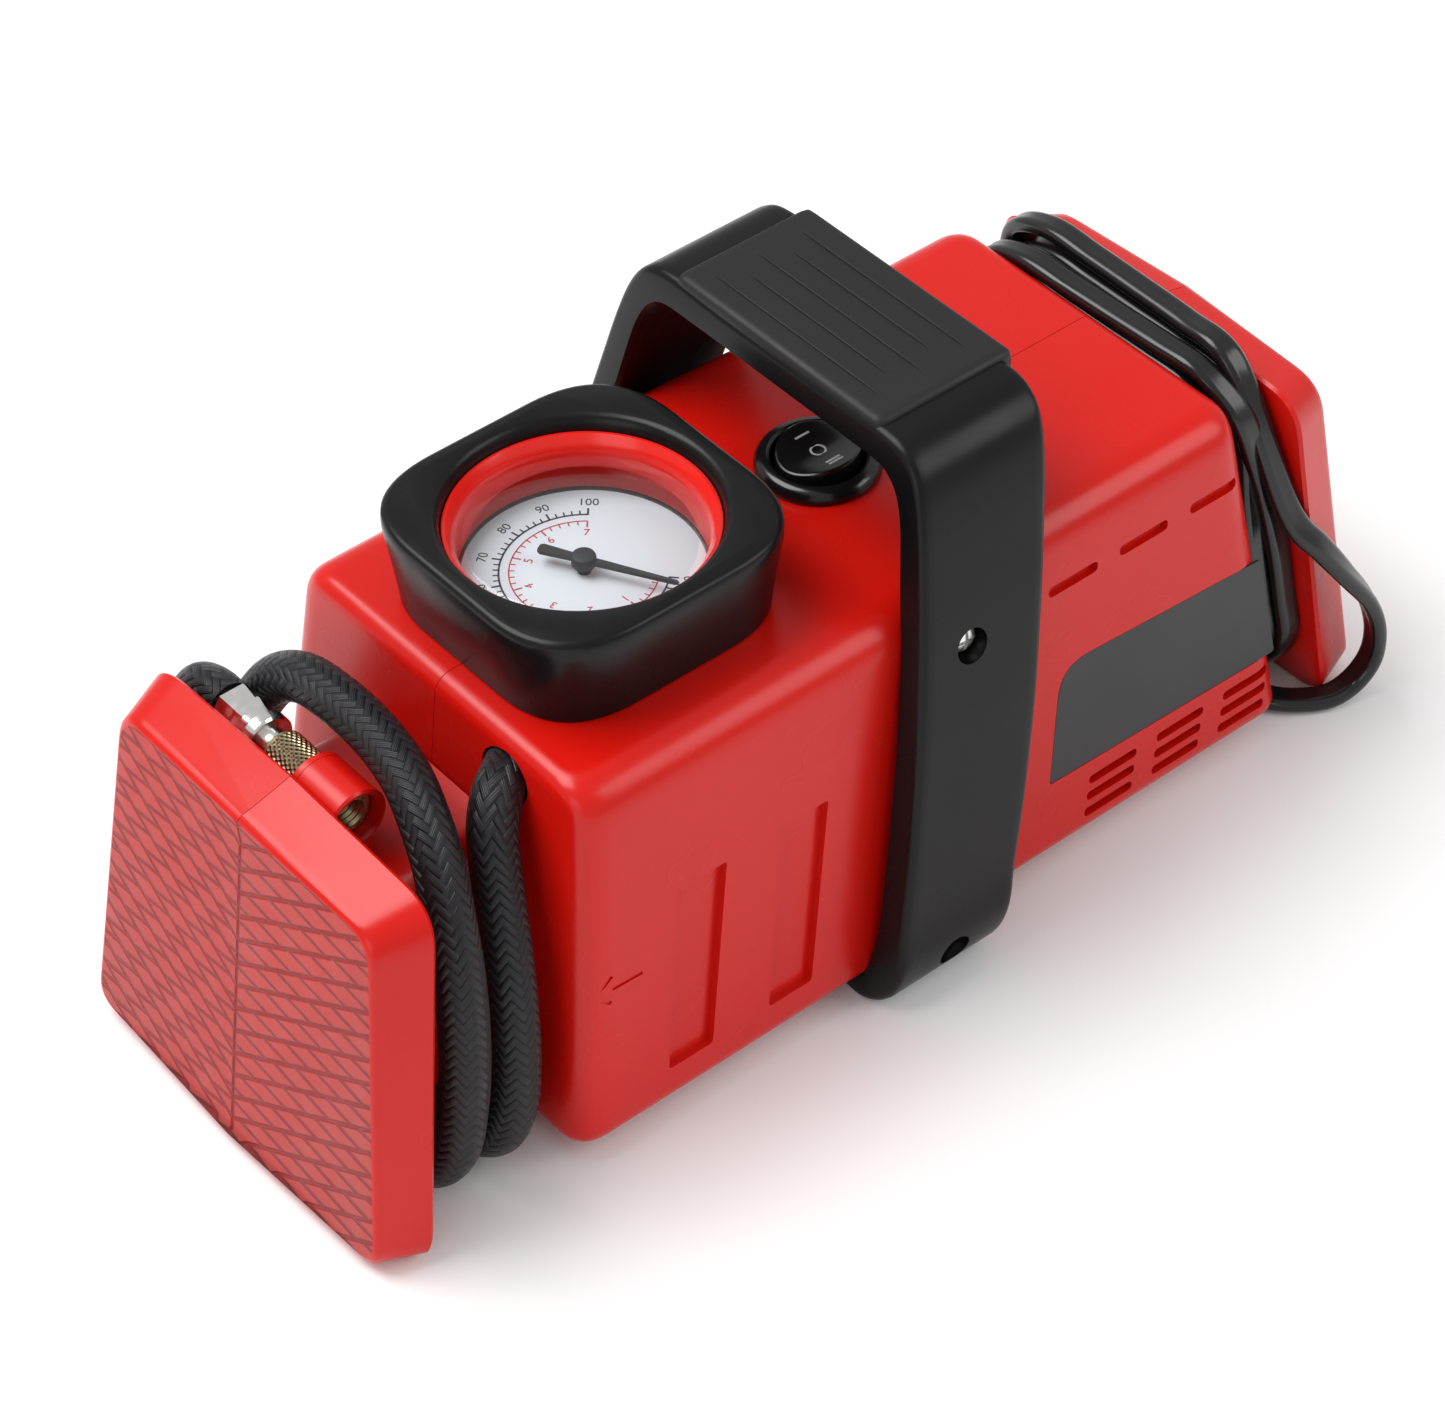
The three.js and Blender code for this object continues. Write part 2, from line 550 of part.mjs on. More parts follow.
// ---------------------------------------------------------------- hose and its screw-on chuck
add('air_hose', tube(HOSE_ROUTE, polygon(HOSE_D / 2, 8), 76), 'braid');
const alongChuck = (a, b, r, sides) => bar([CHUCK_X, a, CHUCK_Z], [CHUCK_X, b, CHUCK_Z], r, sides);
add('hose_ferrule', join(
  alongChuck(12, 14.4, 3, 16), alongChuck(14, 25.4, 4.7, 20), alongChuck(16, 20.6, 4.95, 6),
), 'chrome');
add('chuck_barrel', cut(alongChuck(-9, 11.7, 4.4, 24), alongChuck(-12, -2, 3.3, 20)), 'brass');
add('chuck_washer', cut(alongChuck(-3.8, -2.3, 3, 20), alongChuck(-5, 0, 1, 12)), 'rubber');

// the barb points along the hose's first stretch
const hoseStart = new THREE.Vector3(...HOSE_ROUTE[0]);
const inwards = hoseStart.clone().sub(new THREE.Vector3(...HOSE_ROUTE[1])).normalize();
const barbPoint = (distance) => hoseStart.clone().addScaledVector(inwards, distance).toArray();
add('hose_barb', join(
  bar(barbPoint(0.5), barbPoint(15), 2.4, 14), bar(barbPoint(9), barbPoint(13), 4, 6),
), 'brass');

// ---------------------------------------------------------------- mains cord wound on its reel, and its plug
const coilOutline = (foot, head, bottom, top, r) => rounded(
  [[-foot, bottom, r], [foot, bottom, r], [head, top, r], [-head, top, r]], r);

function coilSolid() {
  const outer = alongX(coilOutline(42.5, 37, 5.5, 84, 18), -1, 1, { curve: 5 });
  const hole = alongX(coilOutline(31, 25, NECK_BOTTOM - 1.5, 71, 12), -2, 2, { curve: 5 });
  const foot = (rearX(0) + PLATE_FOOT_X - PLATE_THICK) / 2;
  return warp(cut(outer, hole), (x, y, z) => {
    const half = 4.3 + 0.0175 * z;
    return [foot - (REAR_SLOPE + PLATE_LEAN) / 2 * z + half * x, y, z];
  });
}

// from the grommet into the wound turns
const LEAD_ROUTE = [
  [94.1, GROMMET_Y, GROMMET_Z], [96.6, -24, 47.5], [98.4, -24.1, 44], [99.3, -24.6, 39.5],
  [99.6, -25.4, 35.8], [99.6, -27.2, 34.2],
];
// off the wound turns in a loose loop, under the housing and up into the plug
const RUN_ROUTE = [
  [98.8, -41.8, 49], [103.4, -45, 42], [109, -47.4, 33.4], [114.6, -48.6, 24.6], [117.4, -49, 15.6],
  [117.2, -48.6, 8], [113.8, -47.8, 3.4], [108.5, -46.9, 2], [103.6, -44.2, 2], [99.9, -40.5, 2],
  [97.6, -35, 2], [95, -27, 2], [91.5, -14, 2], [88, 0, 2], [84, 14, 2], [80, 28, 2], [75.8, 42, 2],
  [71, 54, 2.1], [64, 67, 3.4], [57, 73.6, 5.8], [50.3, PLUG_Y, PLUG_Z],
];

function plugSolid() {
  const outline = rectangle([PLUG_Y - 17.3, PLUG_Y + 17.3], [0.3, 13.9], 4);
  const body = alongX(outline, 14, 30, { bevel: 1, steps: 1 });
  const taper = warp(alongX(rectangle([-1, 1], [-1, 1], 0.5), 29, 46, { curve: 4 }), (x, y, z) => {
    const k = (x - 29) / 17;
    return [x, PLUG_Y + y * (16.2 - 10.4 * k), PLUG_Z + z * (6.5 - 2.3 * k)];
  });
  const pins = [-9.3, 9.3].map((y) => bar([-5, PLUG_Y + y, PLUG_Z], [15, PLUG_Y + y, PLUG_Z], 2, 14));
  return join(body, taper, bar([45, PLUG_Y, PLUG_Z], [49.6, PLUG_Y, PLUG_Z], 3, 14), ...pins);
}

add('mains_cord_coil', coilSolid(), 'rubber');
add('mains_cord_lead', tube(LEAD_ROUTE, polygon(CORD_R, 8), 8), 'rubber');
add('mains_cord_run', tube(RUN_ROUTE, polygon(CORD_R, 8), 40), 'rubber');
add('mains_plug', plugSolid(), 'rubber');
const inGrommet = (a, b, r, sides) => bar([a, GROMMET_Y, GROMMET_Z], [b, GROMMET_Y, GROMMET_Z], r, sides);
add('cord_grommet', join(
  inGrommet(85.2, 93.6, 2.5, 14), inGrommet(91.4, 92.6, 3, 14), inGrommet(85.2, 86.8, 3.8, 14),
), 'rubber');

// ---------------------------------------------------------------- motor, gears and crank
const alongMotor = (a, b, r, sides) => bar([a, 0, MOTOR_Z], [b, 0, MOTOR_Z], r, sides);
const alongCrank = (a, b, r, sides) => bar([a, CRANK_Y, CRANK_Z], [b, CRANK_Y, CRANK_Z], r, sides);

add('motor_can', cut(
  alongMotor(MOTOR_FRONT, MOTOR_BACK, MOTOR_R, 32),
  alongMotor(MOTOR_FRONT + 1.5, MOTOR_BACK + 1, MOTOR_R - 1.5, 32),
  alongMotor(0, 10, SHAFT_R + 0.3, 16),
), 'steel');
add('motor_endcap', cut(alongMotor(56.3, 58.3, MOTOR_R, 32), alongMotor(50, 60, SHAFT_R + 0.3, 16)), 'nylon');
add('motor_armature', join(alongMotor(-9.6, 65.5, SHAFT_R, 12), alongMotor(12, 48, 14, 24)), 'steel');

function fanSolid() {
  const blades = [];
  for (let i = 0; i < 7; i++) {
    const blade = box([-2.2, 2.2], [3, 19], [-0.5, 0.5]).rotateY(0.6).rotateX(2 * Math.PI * i / 7);
    blades.push(blade.translate(61.6, 0, MOTOR_Z));
  }
  return cut(join(alongMotor(59.2, 64, 4.2, 16), ...blades), alongMotor(50, 70, SHAFT_R + 0.3, 12));
}

add('cooling_fan', fanSolid(), 'black');

// teeth as a closed outline round a centre; one tooth, or one gap, points at the other wheel
function toothed(pitchRadius, teeth, phase) {
  const shape = new THREE.Shape();
  const step = 2 * Math.PI / teeth;
  const corners = [[-0.34, -1.15], [-0.14, 0.85], [0.14, 0.85], [0.34, -1.15]];
  for (let i = 0; i < teeth; i++) {
    corners.forEach(([turn, height], j) => {
      const a = phase + (i + turn) * step;
      const r = pitchRadius + height;
      const point = [r * Math.cos(a), r * Math.sin(a)];
      if (i + j === 0) shape.moveTo(...point);
      else shape.lineTo(...point);
    });
  }
  shape.closePath();
  return shape;
}

const towardsMotor = Math.atan2(MOTOR_Z - CRANK_Z, -CRANK_Y);
const GEAR_X = [-9, -3];
const gear = alongX(toothed(GEAR_R, GEAR_TEETH, towardsMotor), ...GEAR_X).translate(0, CRANK_Y, CRANK_Z);
const pinionPhase = towardsMotor + Math.PI + Math.PI / PINION_TEETH;
const pinion = alongX(toothed(PINION_R, PINION_TEETH, pinionPhase), ...GEAR_X).translate(0, 0, MOTOR_Z);
add('drive_gear', cut(gear, alongCrank(-20, 10, 2.7, 16)), 'nylon');
add('motor_pinion', cut(pinion, alongMotor(-20, 10, SHAFT_R + 0.25, 16)), 'brass');
add('crankshaft', join(
  alongCrank(-14, -10, 11, 28), alongCrank(-10.5, 5.5, 2.4, 16),
  bar([-17, CRANK_Y, CRANK_Z + THROW], [-13.5, CRANK_Y, CRANK_Z + THROW], 2, 14),
), 'steel');

// ---------------------------------------------------------------- pump
const alongPump = (a, b, r, sides) => bar([CYLINDER_X, a, CRANK_Z], [CYLINDER_X, b, CRANK_Z], r, sides);
const CYLINDER_Y = [7, 26];

add('pump_frame', cut(
  join(
    alongX(rectangle([-27, 27], [9, 62], 5), -1, 3, { curve: 3 }),
    alongPump(...CYLINDER_Y, 12, 28),
    box([-12, 0], [8, 25], [CRANK_Z - 6, CRANK_Z + 6]),
  ),
  alongPump(0, 30, PISTON_R + 0.3, 28), alongMotor(-5, 10, 5.5, 20), alongCrank(-5, 10, 2.9, 16),
), 'aluminium');
const headOutline = rectangle([CYLINDER_X - 13, CYLINDER_X + 13], [CRANK_Z - 13, CRANK_Z + 13], 2);
add('cylinder_head', join(
  alongY(headOutline, 26.3, 30, { curve: 2 }),
  ...[-9, -3, 3, 9].map((x) => box(
    [CYLINDER_X + x - 1, CYLINDER_X + x + 1], [29.5, 35], [CRANK_Z - 12, CRANK_Z + 10])),
  bar([CYLINDER_X, 28.2, CRANK_Z + 12], [CYLINDER_X, 28.2, CRANK_Z + 15.5], 1.8, 12),
), 'aluminium');
const acrossPiston = (a, b, r, sides) => bar([a, WRIST_Y, CRANK_Z], [b, WRIST_Y, CRANK_Z], r, sides);
add('piston', join(
  cut(alongPump(7, 18, PISTON_R, 28), alongPump(5, 16, PISTON_R - 1.8, 24)),
  acrossPiston(CYLINDER_X - 8.2, CYLINDER_X + 8.2, 1.6, 12),
), 'aluminium');

function rodSolid() {
  const x = [CYLINDER_X - 2.7, CYLINDER_X + 2.7];
  const pinZ = CRANK_Z + THROW;
  const acrossPin = (a, b, r, sides) => bar([a, CRANK_Y, pinZ], [b, CRANK_Y, pinZ], r, sides);
  const beam = bar([CYLINDER_X, CRANK_Y, CRANK_Z + THROW], [CYLINDER_X, WRIST_Y, CRANK_Z], 1.9, 8);
  const ends = join(beam, acrossPin(...x, 4.4, 20), acrossPiston(...x, 3.5, 20));
  return cut(ends, acrossPin(x[0] - 1, x[1] + 1, 2.4, 16), acrossPiston(x[0] - 1, x[1] + 1, 1.9, 16));
}

add('piston_rod', rodSolid(), 'nylon');
add('air_manifold', cut(
  box([-45, -30], [-5, 5], [54, 66]), bar([GAUGE_X, 0, 57], [GAUGE_X, 0, 70], 2.5, 14),
), 'brass');
add('air_tube', tube([
  [CYLINDER_X, 28.2, CRANK_Z + 15.9], [-20.4, 27.6, 66.6], [-23.5, 23, 69.6], [-29, 16, 68.2],
  [-34.4, 10.4, 63.5], [-36, 6.3, 60.5],
], polygon(2, 8), 9), 'clear');

// ---------------------------------------------------------------- mains power supply over the motor
const BOARD_Z = [50, 51.6];
const onBoard = BOARD_Z[1] + GAP;
add('power_board', box([30, 84], [-31, 31], BOARD_Z), 'board');
add('transformer', join(
  box([36, 60], [-17, 9], [onBoard, 72]), box([32, 64], [-9, 1], [onBoard + 4, 70]),
), 'steel');
add('capacitor', bar([77, -18, onBoard], [77, -18, 64.5], 6, 20), 'black');
const sinkFins = [36, 42, 48, 54, 60].map((x) => box([x - 0.7, x + 0.7], [17, 28], [onBoard, 70]));
add('heat_sink', join(box([34, 62], [16, 18], [onBoard, 70]), ...sinkFins), 'aluminium');

export default group;
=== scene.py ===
"""A portable air compressor, dressed over its CAD frame. Metres, +Z up; shapes are given in millimetres."""
import bpy
import bmesh
import math
import numpy as np
from functools import partial
from mathutils import Matrix, Vector


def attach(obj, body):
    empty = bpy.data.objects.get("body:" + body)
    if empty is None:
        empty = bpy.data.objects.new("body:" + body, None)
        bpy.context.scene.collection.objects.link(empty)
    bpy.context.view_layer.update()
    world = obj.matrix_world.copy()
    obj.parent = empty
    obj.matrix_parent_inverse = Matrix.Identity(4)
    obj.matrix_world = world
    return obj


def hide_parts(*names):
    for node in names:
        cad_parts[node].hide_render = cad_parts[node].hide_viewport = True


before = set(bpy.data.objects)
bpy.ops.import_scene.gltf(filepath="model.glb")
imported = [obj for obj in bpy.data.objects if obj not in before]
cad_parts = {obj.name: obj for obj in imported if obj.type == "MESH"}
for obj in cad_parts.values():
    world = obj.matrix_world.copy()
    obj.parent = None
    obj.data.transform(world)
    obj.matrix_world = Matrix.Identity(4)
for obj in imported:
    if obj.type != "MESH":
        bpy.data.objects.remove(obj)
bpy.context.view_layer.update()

MM = 0.001
BODY = "compressor"

# ------------------------------------------------------------------ camera
CAMERA_AT = (-0.3712, -0.4461, 0.5830)
AZIMUTH, ELEVATION, ROLL = (math.radians(a) for a in (-39.342, 43.417, -0.847))
LENS_MM, SENSOR_MM = 108.20, 36.0


def make_camera():
    back = Vector((math.sin(AZIMUTH) * math.cos(ELEVATION), -math.cos(AZIMUTH) * math.cos(ELEVATION),
                   math.sin(ELEVATION)))
    right = Vector((0, 0, 1)).cross(back).normalized()
    up = back.cross(right)
    rolled_right = right * math.cos(ROLL) + up * math.sin(ROLL)
    rolled_up = up * math.cos(ROLL) - right * math.sin(ROLL)
    data = bpy.data.cameras.new("camera")
    data.lens, data.sensor_width = LENS_MM, SENSOR_MM
    camera = bpy.data.objects.new("camera", data)
    bpy.context.scene.collection.objects.link(camera)
    turn = Matrix((rolled_right, rolled_up, back)).transposed().to_4x4()
    camera.matrix_world = Matrix.Translation(CAMERA_AT) @ turn
    bpy.context.scene.camera = camera


make_camera()

# ------------------------------------------------------------------ shapes shared by the pieces
BODY_BOTTOM, BODY_TOP = 4.0, 81.0
REAR_LEAN = 0.17
PLATE_FOOT, PLATE_LEAN, PLATE_THICK = 119.0, 0.1354, 10.5
GAUGE_X, SWITCH_X = -35.8, 17.3
CHUCK_X, CHUCK_Z = -93.4, 71.6


def front_x(z):
    return -68.3 - 0.1145 * (BODY_TOP - z)


def rear_x(z):
    return 84.8 + REAR_LEAN * (BODY_TOP - z)


def half_width(x, z):
    """Half width of the housing at a place along it; it narrows a little under the strap."""
    step = min(max(x / 26.0, 0.0), 1.0)
    return 40.1 + 0.087 * (BODY_TOP - z) - 1.2 * step


# ------------------------------------------------------------------ mesh helpers
def piece(name, verts, faces, material, body=BODY, smooth=32.0, slot=None, replaces=()):
    """A mesh piece from points in millimetres, riding on a body."""
    mesh = bpy.data.meshes.new(name)
    mesh.from_pydata([tuple(c * MM for c in v) for v in verts], [], faces)
    mesh.validate()
    return dress(mesh, name, material, body, smooth, replaces)


def dress(mesh, name, material, body=BODY, smooth=32.0, replaces=()):
    obj = bpy.data.objects.new(name, mesh)
    bpy.context.scene.collection.objects.link(obj)
    fix_normals(mesh)
    round_off(mesh, smooth)
    if not mesh.materials:
        mesh.materials.append(material)
    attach(obj, body)
    if replaces:
        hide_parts(*replaces)
    return obj


def fix_normals(mesh):
    bm = bmesh.new()
    bm.from_mesh(mesh)
    bmesh.ops.recalc_face_normals(bm, faces=bm.faces)
    bm.to_mesh(mesh)
    bm.free()


def round_off(mesh, angle):
    for polygon in mesh.polygons:
        polygon.use_smooth = True
    mesh.set_sharp_from_angle(angle=math.radians(angle))


def loft(rings, cap_start=True, cap_end=True, closed=False):
    """Verts and faces through rings of the same number of points."""
    count = len(rings[0])
    verts = [p for ring in rings for p in ring]
    faces = []
    pairs = len(rings) if closed else len(rings) - 1
    for i in range(pairs):
        a, b = i * count, ((i + 1) % len(rings)) * count
        for j in range(count):
            k = (j + 1) % count
            faces.append((a + j, a + k, b + k, b + j))
    if not closed and cap_start:
        faces.append(tuple(range(count - 1, -1, -1)))
    if not closed and cap_end:
        faces.append(tuple(range((len(rings) - 1) * count, len(rings) * count)))
    return verts, faces


def merge(*parts):
    verts, faces = [], []
    for v, f in parts:
        base = len(verts)
        verts += list(v)
        faces += [tuple(base + i for i in face) for face in f]
    return verts, faces


def rounded_polygon(corners, arc=6):
    """Points round a polygon of (a, b, radius) corners, each turned through a smooth arc."""
    out = []
    n = len(corners)
    for i, (a, b, r) in enumerate(corners):
        here = Vector((a, b))
        before = (Vector(corners[i - 1][:2]) - here).normalized()
        after = (Vector(corners[(i + 1) % n][:2]) - here).normalized()
        if r <= 0:
            out.append((a, b))
            continue
        start, end = here + before * r, here + after * r
        for k in range(arc + 1):
            t = k / arc
            p = start * (1 - t) ** 2 + here * 2 * t * (1 - t) + end * t * t
            out.append((p.x, p.y))
    return out


def rectangle_corners(a, b):
    return [(a[0], b[0]), (a[1], b[0]), (a[1], b[1]), (a[0], b[1])]


def rectangle(a, b, r, arc):
    """A rectangle between two values of a and two of b, with round corners."""
    return rounded_polygon([(*corner, r) for corner in rectangle_corners(a, b)], arc)


def spread(points, gap):
    """The same closed outline with no step longer than gap."""
    out = []
    for i, p in enumerate(points):
        q = points[(i + 1) % len(points)]
        steps = max(1, math.ceil(math.dist(p, q) / gap))
        out += [tuple(a + (b - a) * k / steps for a, b in zip(p, q)) for k in range(steps)]
    return out


def box(x, y, z):
    verts = [(i, j, k) for i in x for j in y for k in z]
    faces = [(0, 1, 3, 2), (4, 6, 7, 5), (0, 4, 5, 1), (2, 3, 7, 6), (0, 2, 6, 4), (1, 5, 7, 3)]
    return verts, faces


def turned(profile, centre, axis="z", sides=72, closed=False):
    """A body of revolution from (radius, height) points, about a line through centre."""
    rings = []
    for r, h in profile:
        ring = []
        for k in range(sides):
            a = 2 * math.pi * k / sides
            u, v = r * math.cos(a), r * math.sin(a)
            p = {"z": (u, v, h), "y": (u, h, v), "x": (h, u, v)}[axis]
            ring.append(tuple(c + d for c, d in zip(centre, p)))
        rings.append(ring)
    return loft(rings, closed=closed)


def cylinder(a, b, r, sides=32):
    """A plain round bar from a to b, used as a cutter or inside a larger shape."""
    a, b = Vector(a), Vector(b)
    turn = Vector((0, 0, 1)).rotation_difference((b - a).normalized())
    rings = []
    for end in (a, b):
        ring = []
        for k in range(sides):
            t = 2 * math.pi * k / sides
            ring.append(tuple(end + turn @ Vector((r * math.cos(t), r * math.sin(t), 0))))
        rings.append(ring)
    return loft(rings)


def scratch(verts, faces):
    mesh = bpy.data.meshes.new("scratch")
    mesh.from_pydata([tuple(c * MM for c in v) for v in verts], [], faces)
    fix_normals(mesh)
    obj = bpy.data.objects.new("scratch", mesh)
    bpy.context.scene.collection.objects.link(obj)
    return obj


def boolean(target, cutters, operation="DIFFERENCE"):
    """Applies each cutter to a scratch object; the cutters are then removed."""
    for verts, faces in cutters:
        cutter = scratch(verts, faces)
        modifier = target.modifiers.new("cut", "BOOLEAN")
        modifier.operation, modifier.solver, modifier.object = operation, "EXACT", cutter
        graph = bpy.context.evaluated_depsgraph_get()
        mesh = bpy.data.meshes.new_from_object(target.evaluated_get(graph), depsgraph=graph)
        target.modifiers.clear()
        old = target.data
        target.data = mesh
        bpy.data.meshes.remove(old)
        bpy.data.objects.remove(cutter)
    return target


def take(target):
    """The mesh of a scratch object, which is then removed."""
    mesh = target.data
    bpy.data.objects.remove(target)
    return mesh


def smooth_path(points, gap):
    """Points about gap apart along the centripetal Catmull-Rom line through given points."""
    p = [np.array(q, float) for q in points]
    p = [2 * p[0] - p[1]] + p + [2 * p[-1] - p[-2]]
    out = []
    for i in range(1, len(p) - 2):
        d = [max(np.linalg.norm(p[i + k] - p[i + k - 1]) ** 0.5, 1e-4) for k in range(3)]
        t1 = (p[i] - p[i - 1]) / d[0] - (p[i + 1] - p[i - 1]) / (d[0] + d[1]) + (p[i + 1] - p[i]) / d[1]
        t2 = (p[i + 1] - p[i]) / d[1] - (p[i + 2] - p[i]) / (d[1] + d[2]) + (p[i + 2] - p[i + 1]) / d[2]
        t1, t2 = t1 * d[1], t2 * d[1]
        steps = max(2, math.ceil(np.linalg.norm(p[i + 1] - p[i]) / gap))
        for k in range(steps):
            t = k / steps
            out.append((2 * t ** 3 - 3 * t ** 2 + 1) * p[i] + (t ** 3 - 2 * t ** 2 + t) * t1
                       + (-2 * t ** 3 + 3 * t ** 2) * p[i + 1] + (t ** 3 - t ** 2) * t2)
    out.append(p[-2])
    return out


def swept(path, section, sideways):
    """A tube round a path: section["at"] gives (across, outwards), sideways(i) the across direction."""
    rings = []
    angles = [2 * math.pi * k / section["sides"] for k in range(section["sides"])]
    for i, here in enumerate(path):
        along = path[min(i + 1, len(path) - 1)] - path[max(i - 1, 0)]
        along = along / np.linalg.norm(along)
        across = np.array(sideways(i), float)
        across -= along * across.dot(along)
        across /= np.linalg.norm(across)
        out = np.cross(along, across)
        rings.append([tuple(here + across * a + out * b) for a, b in map(section["at"], angles)])
    return loft(rings)


def give_tube_uv(mesh, path, sides, around):
    """UV on a swept tube: u once round it, v in the same units along it."""
    layer = mesh.uv_layers.new(name="tube")
    along = [0.0]
    for a, b in zip(path, path[1:]):
        along.append(along[-1] + float(np.linalg.norm(b - a)))
    for polygon in mesh.polygons:
        if len(polygon.vertices) != 4:
            continue
        columns = [v % sides for v in polygon.vertices]
        wraps = max(columns) - min(columns) > sides / 2
        for loop, vertex in zip(polygon.loop_indices, polygon.vertices):
            column = vertex % sides
            u = (column + (sides if wraps and column == 0 else 0)) / sides
            layer.data[loop].uv = (u, along[vertex // sides] / around)


def parallel_sideways(path, start):
    """An across direction carried along the path with no twist."""
    out = []
    across = np.array(start, float)
    for i in range(len(path)):
        along = path[min(i + 1, len(path) - 1)] - path[max(i - 1, 0)]
        along = along / np.linalg.norm(along)
        across = across - along * across.dot(along)
        across = across / np.linalg.norm(across)
        out.append(across)
    return out


# ------------------------------------------------------------------ materials
def new_material(name):
    material = bpy.data.materials.new(name)
    material.use_nodes = True
    tree = material.node_tree
    shader = tree.nodes["Principled BSDF"]
    return material, tree, shader


def math_node(tree, operation, a, b=None):
    made = tree.nodes.new("ShaderNodeMath")
    made.operation = operation
    for socket, value in zip(made.inputs, (a, b)):
        if value is None:
            continue
        if isinstance(value, (int, float)):
            socket.default_value = value
        else:
            tree.links.new(value, socket)
    return made.outputs[0]


def noise(tree, scale, detail=3.0, stretch=(1, 1, 1)):
    """Noise over the piece's own place, scale in waves per metre."""
    where = tree.nodes.new("ShaderNodeTexCoord")
    mapping = tree.nodes.new("ShaderNodeMapping")
    mapping.inputs["Scale"].default_value = stretch
    tree.links.new(where.outputs["Object"], mapping.inputs["Vector"])
    made = tree.nodes.new("ShaderNodeTexNoise")
    made.inputs["Scale"].default_value = scale
    made.inputs["Detail"].default_value = detail
    tree.links.new(mapping.outputs["Vector"], made.inputs["Vector"])
    return made.outputs["Fac"]


def ramp(tree, factor, low, high, start=0.3, end=0.7):
    """Maps a factor to a range of values."""
    made = tree.nodes.new("ShaderNodeMapRange")
    made.inputs["From Min"].default_value, made.inputs["From Max"].default_value = start, end
    made.inputs["To Min"].default_value, made.inputs["To Max"].default_value = low, high
    tree.links.new(factor, made.inputs["Value"])
    return made.outputs["Result"]


def mix_colour(tree, factor, a, b):
    made = tree.nodes.new("ShaderNodeMix")
    made.data_type = "RGBA"
    if isinstance(factor, (int, float)):
        made.inputs[0].default_value = factor
    else:
        tree.links.new(factor, made.inputs[0])
    for socket, value in ((made.inputs[6], a), (made.inputs[7], b)):
        if isinstance(value, tuple):
            socket.default_value = (*value, 1.0)
        else:
            tree.links.new(value, socket)
    return made.outputs[2]


def bump(tree, shader, height, strength, distance):
    made = tree.nodes.new("ShaderNodeBump")
    made.inputs["Strength"].default_value = strength
    made.inputs["Distance"].default_value = distance * MM
    tree.links.new(height, made.inputs["Height"])
    tree.links.new(made.outputs["Normal"], shader.inputs["Normal"])


def moulded(name, colour, dark, roughness, uneven=0.06, grain=0.05, grain_scale=2500, specular=0.5):
    """Moulded plastic or rubber: slow colour drift, uneven gloss and a fine surface grain."""
    material, tree, shader = new_material(name)
    drift = noise(tree, 14, 1)
    fine = noise(tree, grain_scale, 2)
    shade = mix_colour(tree, ramp(tree, drift, 0, 1, 0.15, 0.85), colour, dark)
    tree.links.new(shade, shader.inputs["Base Color"])
    gloss = ramp(tree, noise(tree, 60, 2), roughness - uneven, roughness + uneven)
    tree.links.new(gloss, shader.inputs["Roughness"])
    shader.inputs["Specular IOR Level"].default_value = specular
    bump(tree, shader, fine, grain, 0.05)
    return material


def metal(name, colour, dark, roughness, stretch=(1, 1, 1), scale=900, strength=0.15):
    """Bare or plated metal with fine machining lines or tarnish."""
    material, tree, shader = new_material(name)
    lines = noise(tree, scale, 4, stretch)
    tree.links.new(mix_colour(tree, ramp(tree, noise(tree, 120, 5), 0, 1), colour, dark),
                   shader.inputs["Base Color"])
    tree.links.new(ramp(tree, lines, roughness * 0.7, roughness * 1.4), shader.inputs["Roughness"])
    shader.inputs["Metallic"].default_value = 1.0
    bump(tree, shader, lines, strength, 0.03)
    return material


RED = moulded("red_plastic", (0.60, 0.007, 0.003), (0.55, 0.005, 0.002),
              0.26, 0.03, 0.012, 3000, specular=0.34)
RING_RED = moulded("red_ring", (0.75, 0.012, 0.006), (0.68, 0.008, 0.004), 0.2, 0.03, 0.03)
BLACK = moulded("black_plastic", (0.0035, 0.0035, 0.004), (0.0055, 0.0055, 0.006),
                0.28, 0.05, 0.1, 2600, specular=0.22)
SWITCH_BLACK = moulded("switch_black", (0.005, 0.005, 0.0055), (0.008, 0.008, 0.009), 0.2, 0.04, 0.05)
RUBBER = moulded("grip_rubber", (0.008, 0.008, 0.009), (0.012, 0.012, 0.013),
                 0.5, 0.07, 0.3, 1800, specular=0.35)
CORD = moulded("cord_sheath", (0.006, 0.006, 0.0065), (0.010, 0.010, 0.011), 0.22, 0.06, 0.12, 1400)
LABEL = moulded("label_film", (0.020, 0.021, 0.023), (0.025, 0.026, 0.028), 0.45, 0.04, 0.1, 3200)
DIAL = moulded("dial_white", (0.86, 0.86, 0.88), (0.82, 0.82, 0.85), 0.5, 0.05, 0.04)
INK_BLACK = moulded("ink_black", (0.012, 0.012, 0.014), (0.02, 0.02, 0.022), 0.55)
INK_RED = moulded("ink_red", (0.62, 0.015, 0.03), (0.55, 0.01, 0.02), 0.55)
MARK = moulded("mark_white", (0.55, 0.55, 0.55), (0.45, 0.45, 0.46), 0.5)
NYLON = moulded("nylon", (0.72, 0.69, 0.60), (0.66, 0.62, 0.53), 0.45, 0.05, 0.1)
BOARD = moulded("circuit_board", (0.02, 0.12, 0.04), (0.015, 0.09, 0.03), 0.4, 0.06, 0.2, 900)
SLEEVE = moulded("capacitor_sleeve", (0.02, 0.022, 0.03), (0.03, 0.03, 0.04), 0.35)
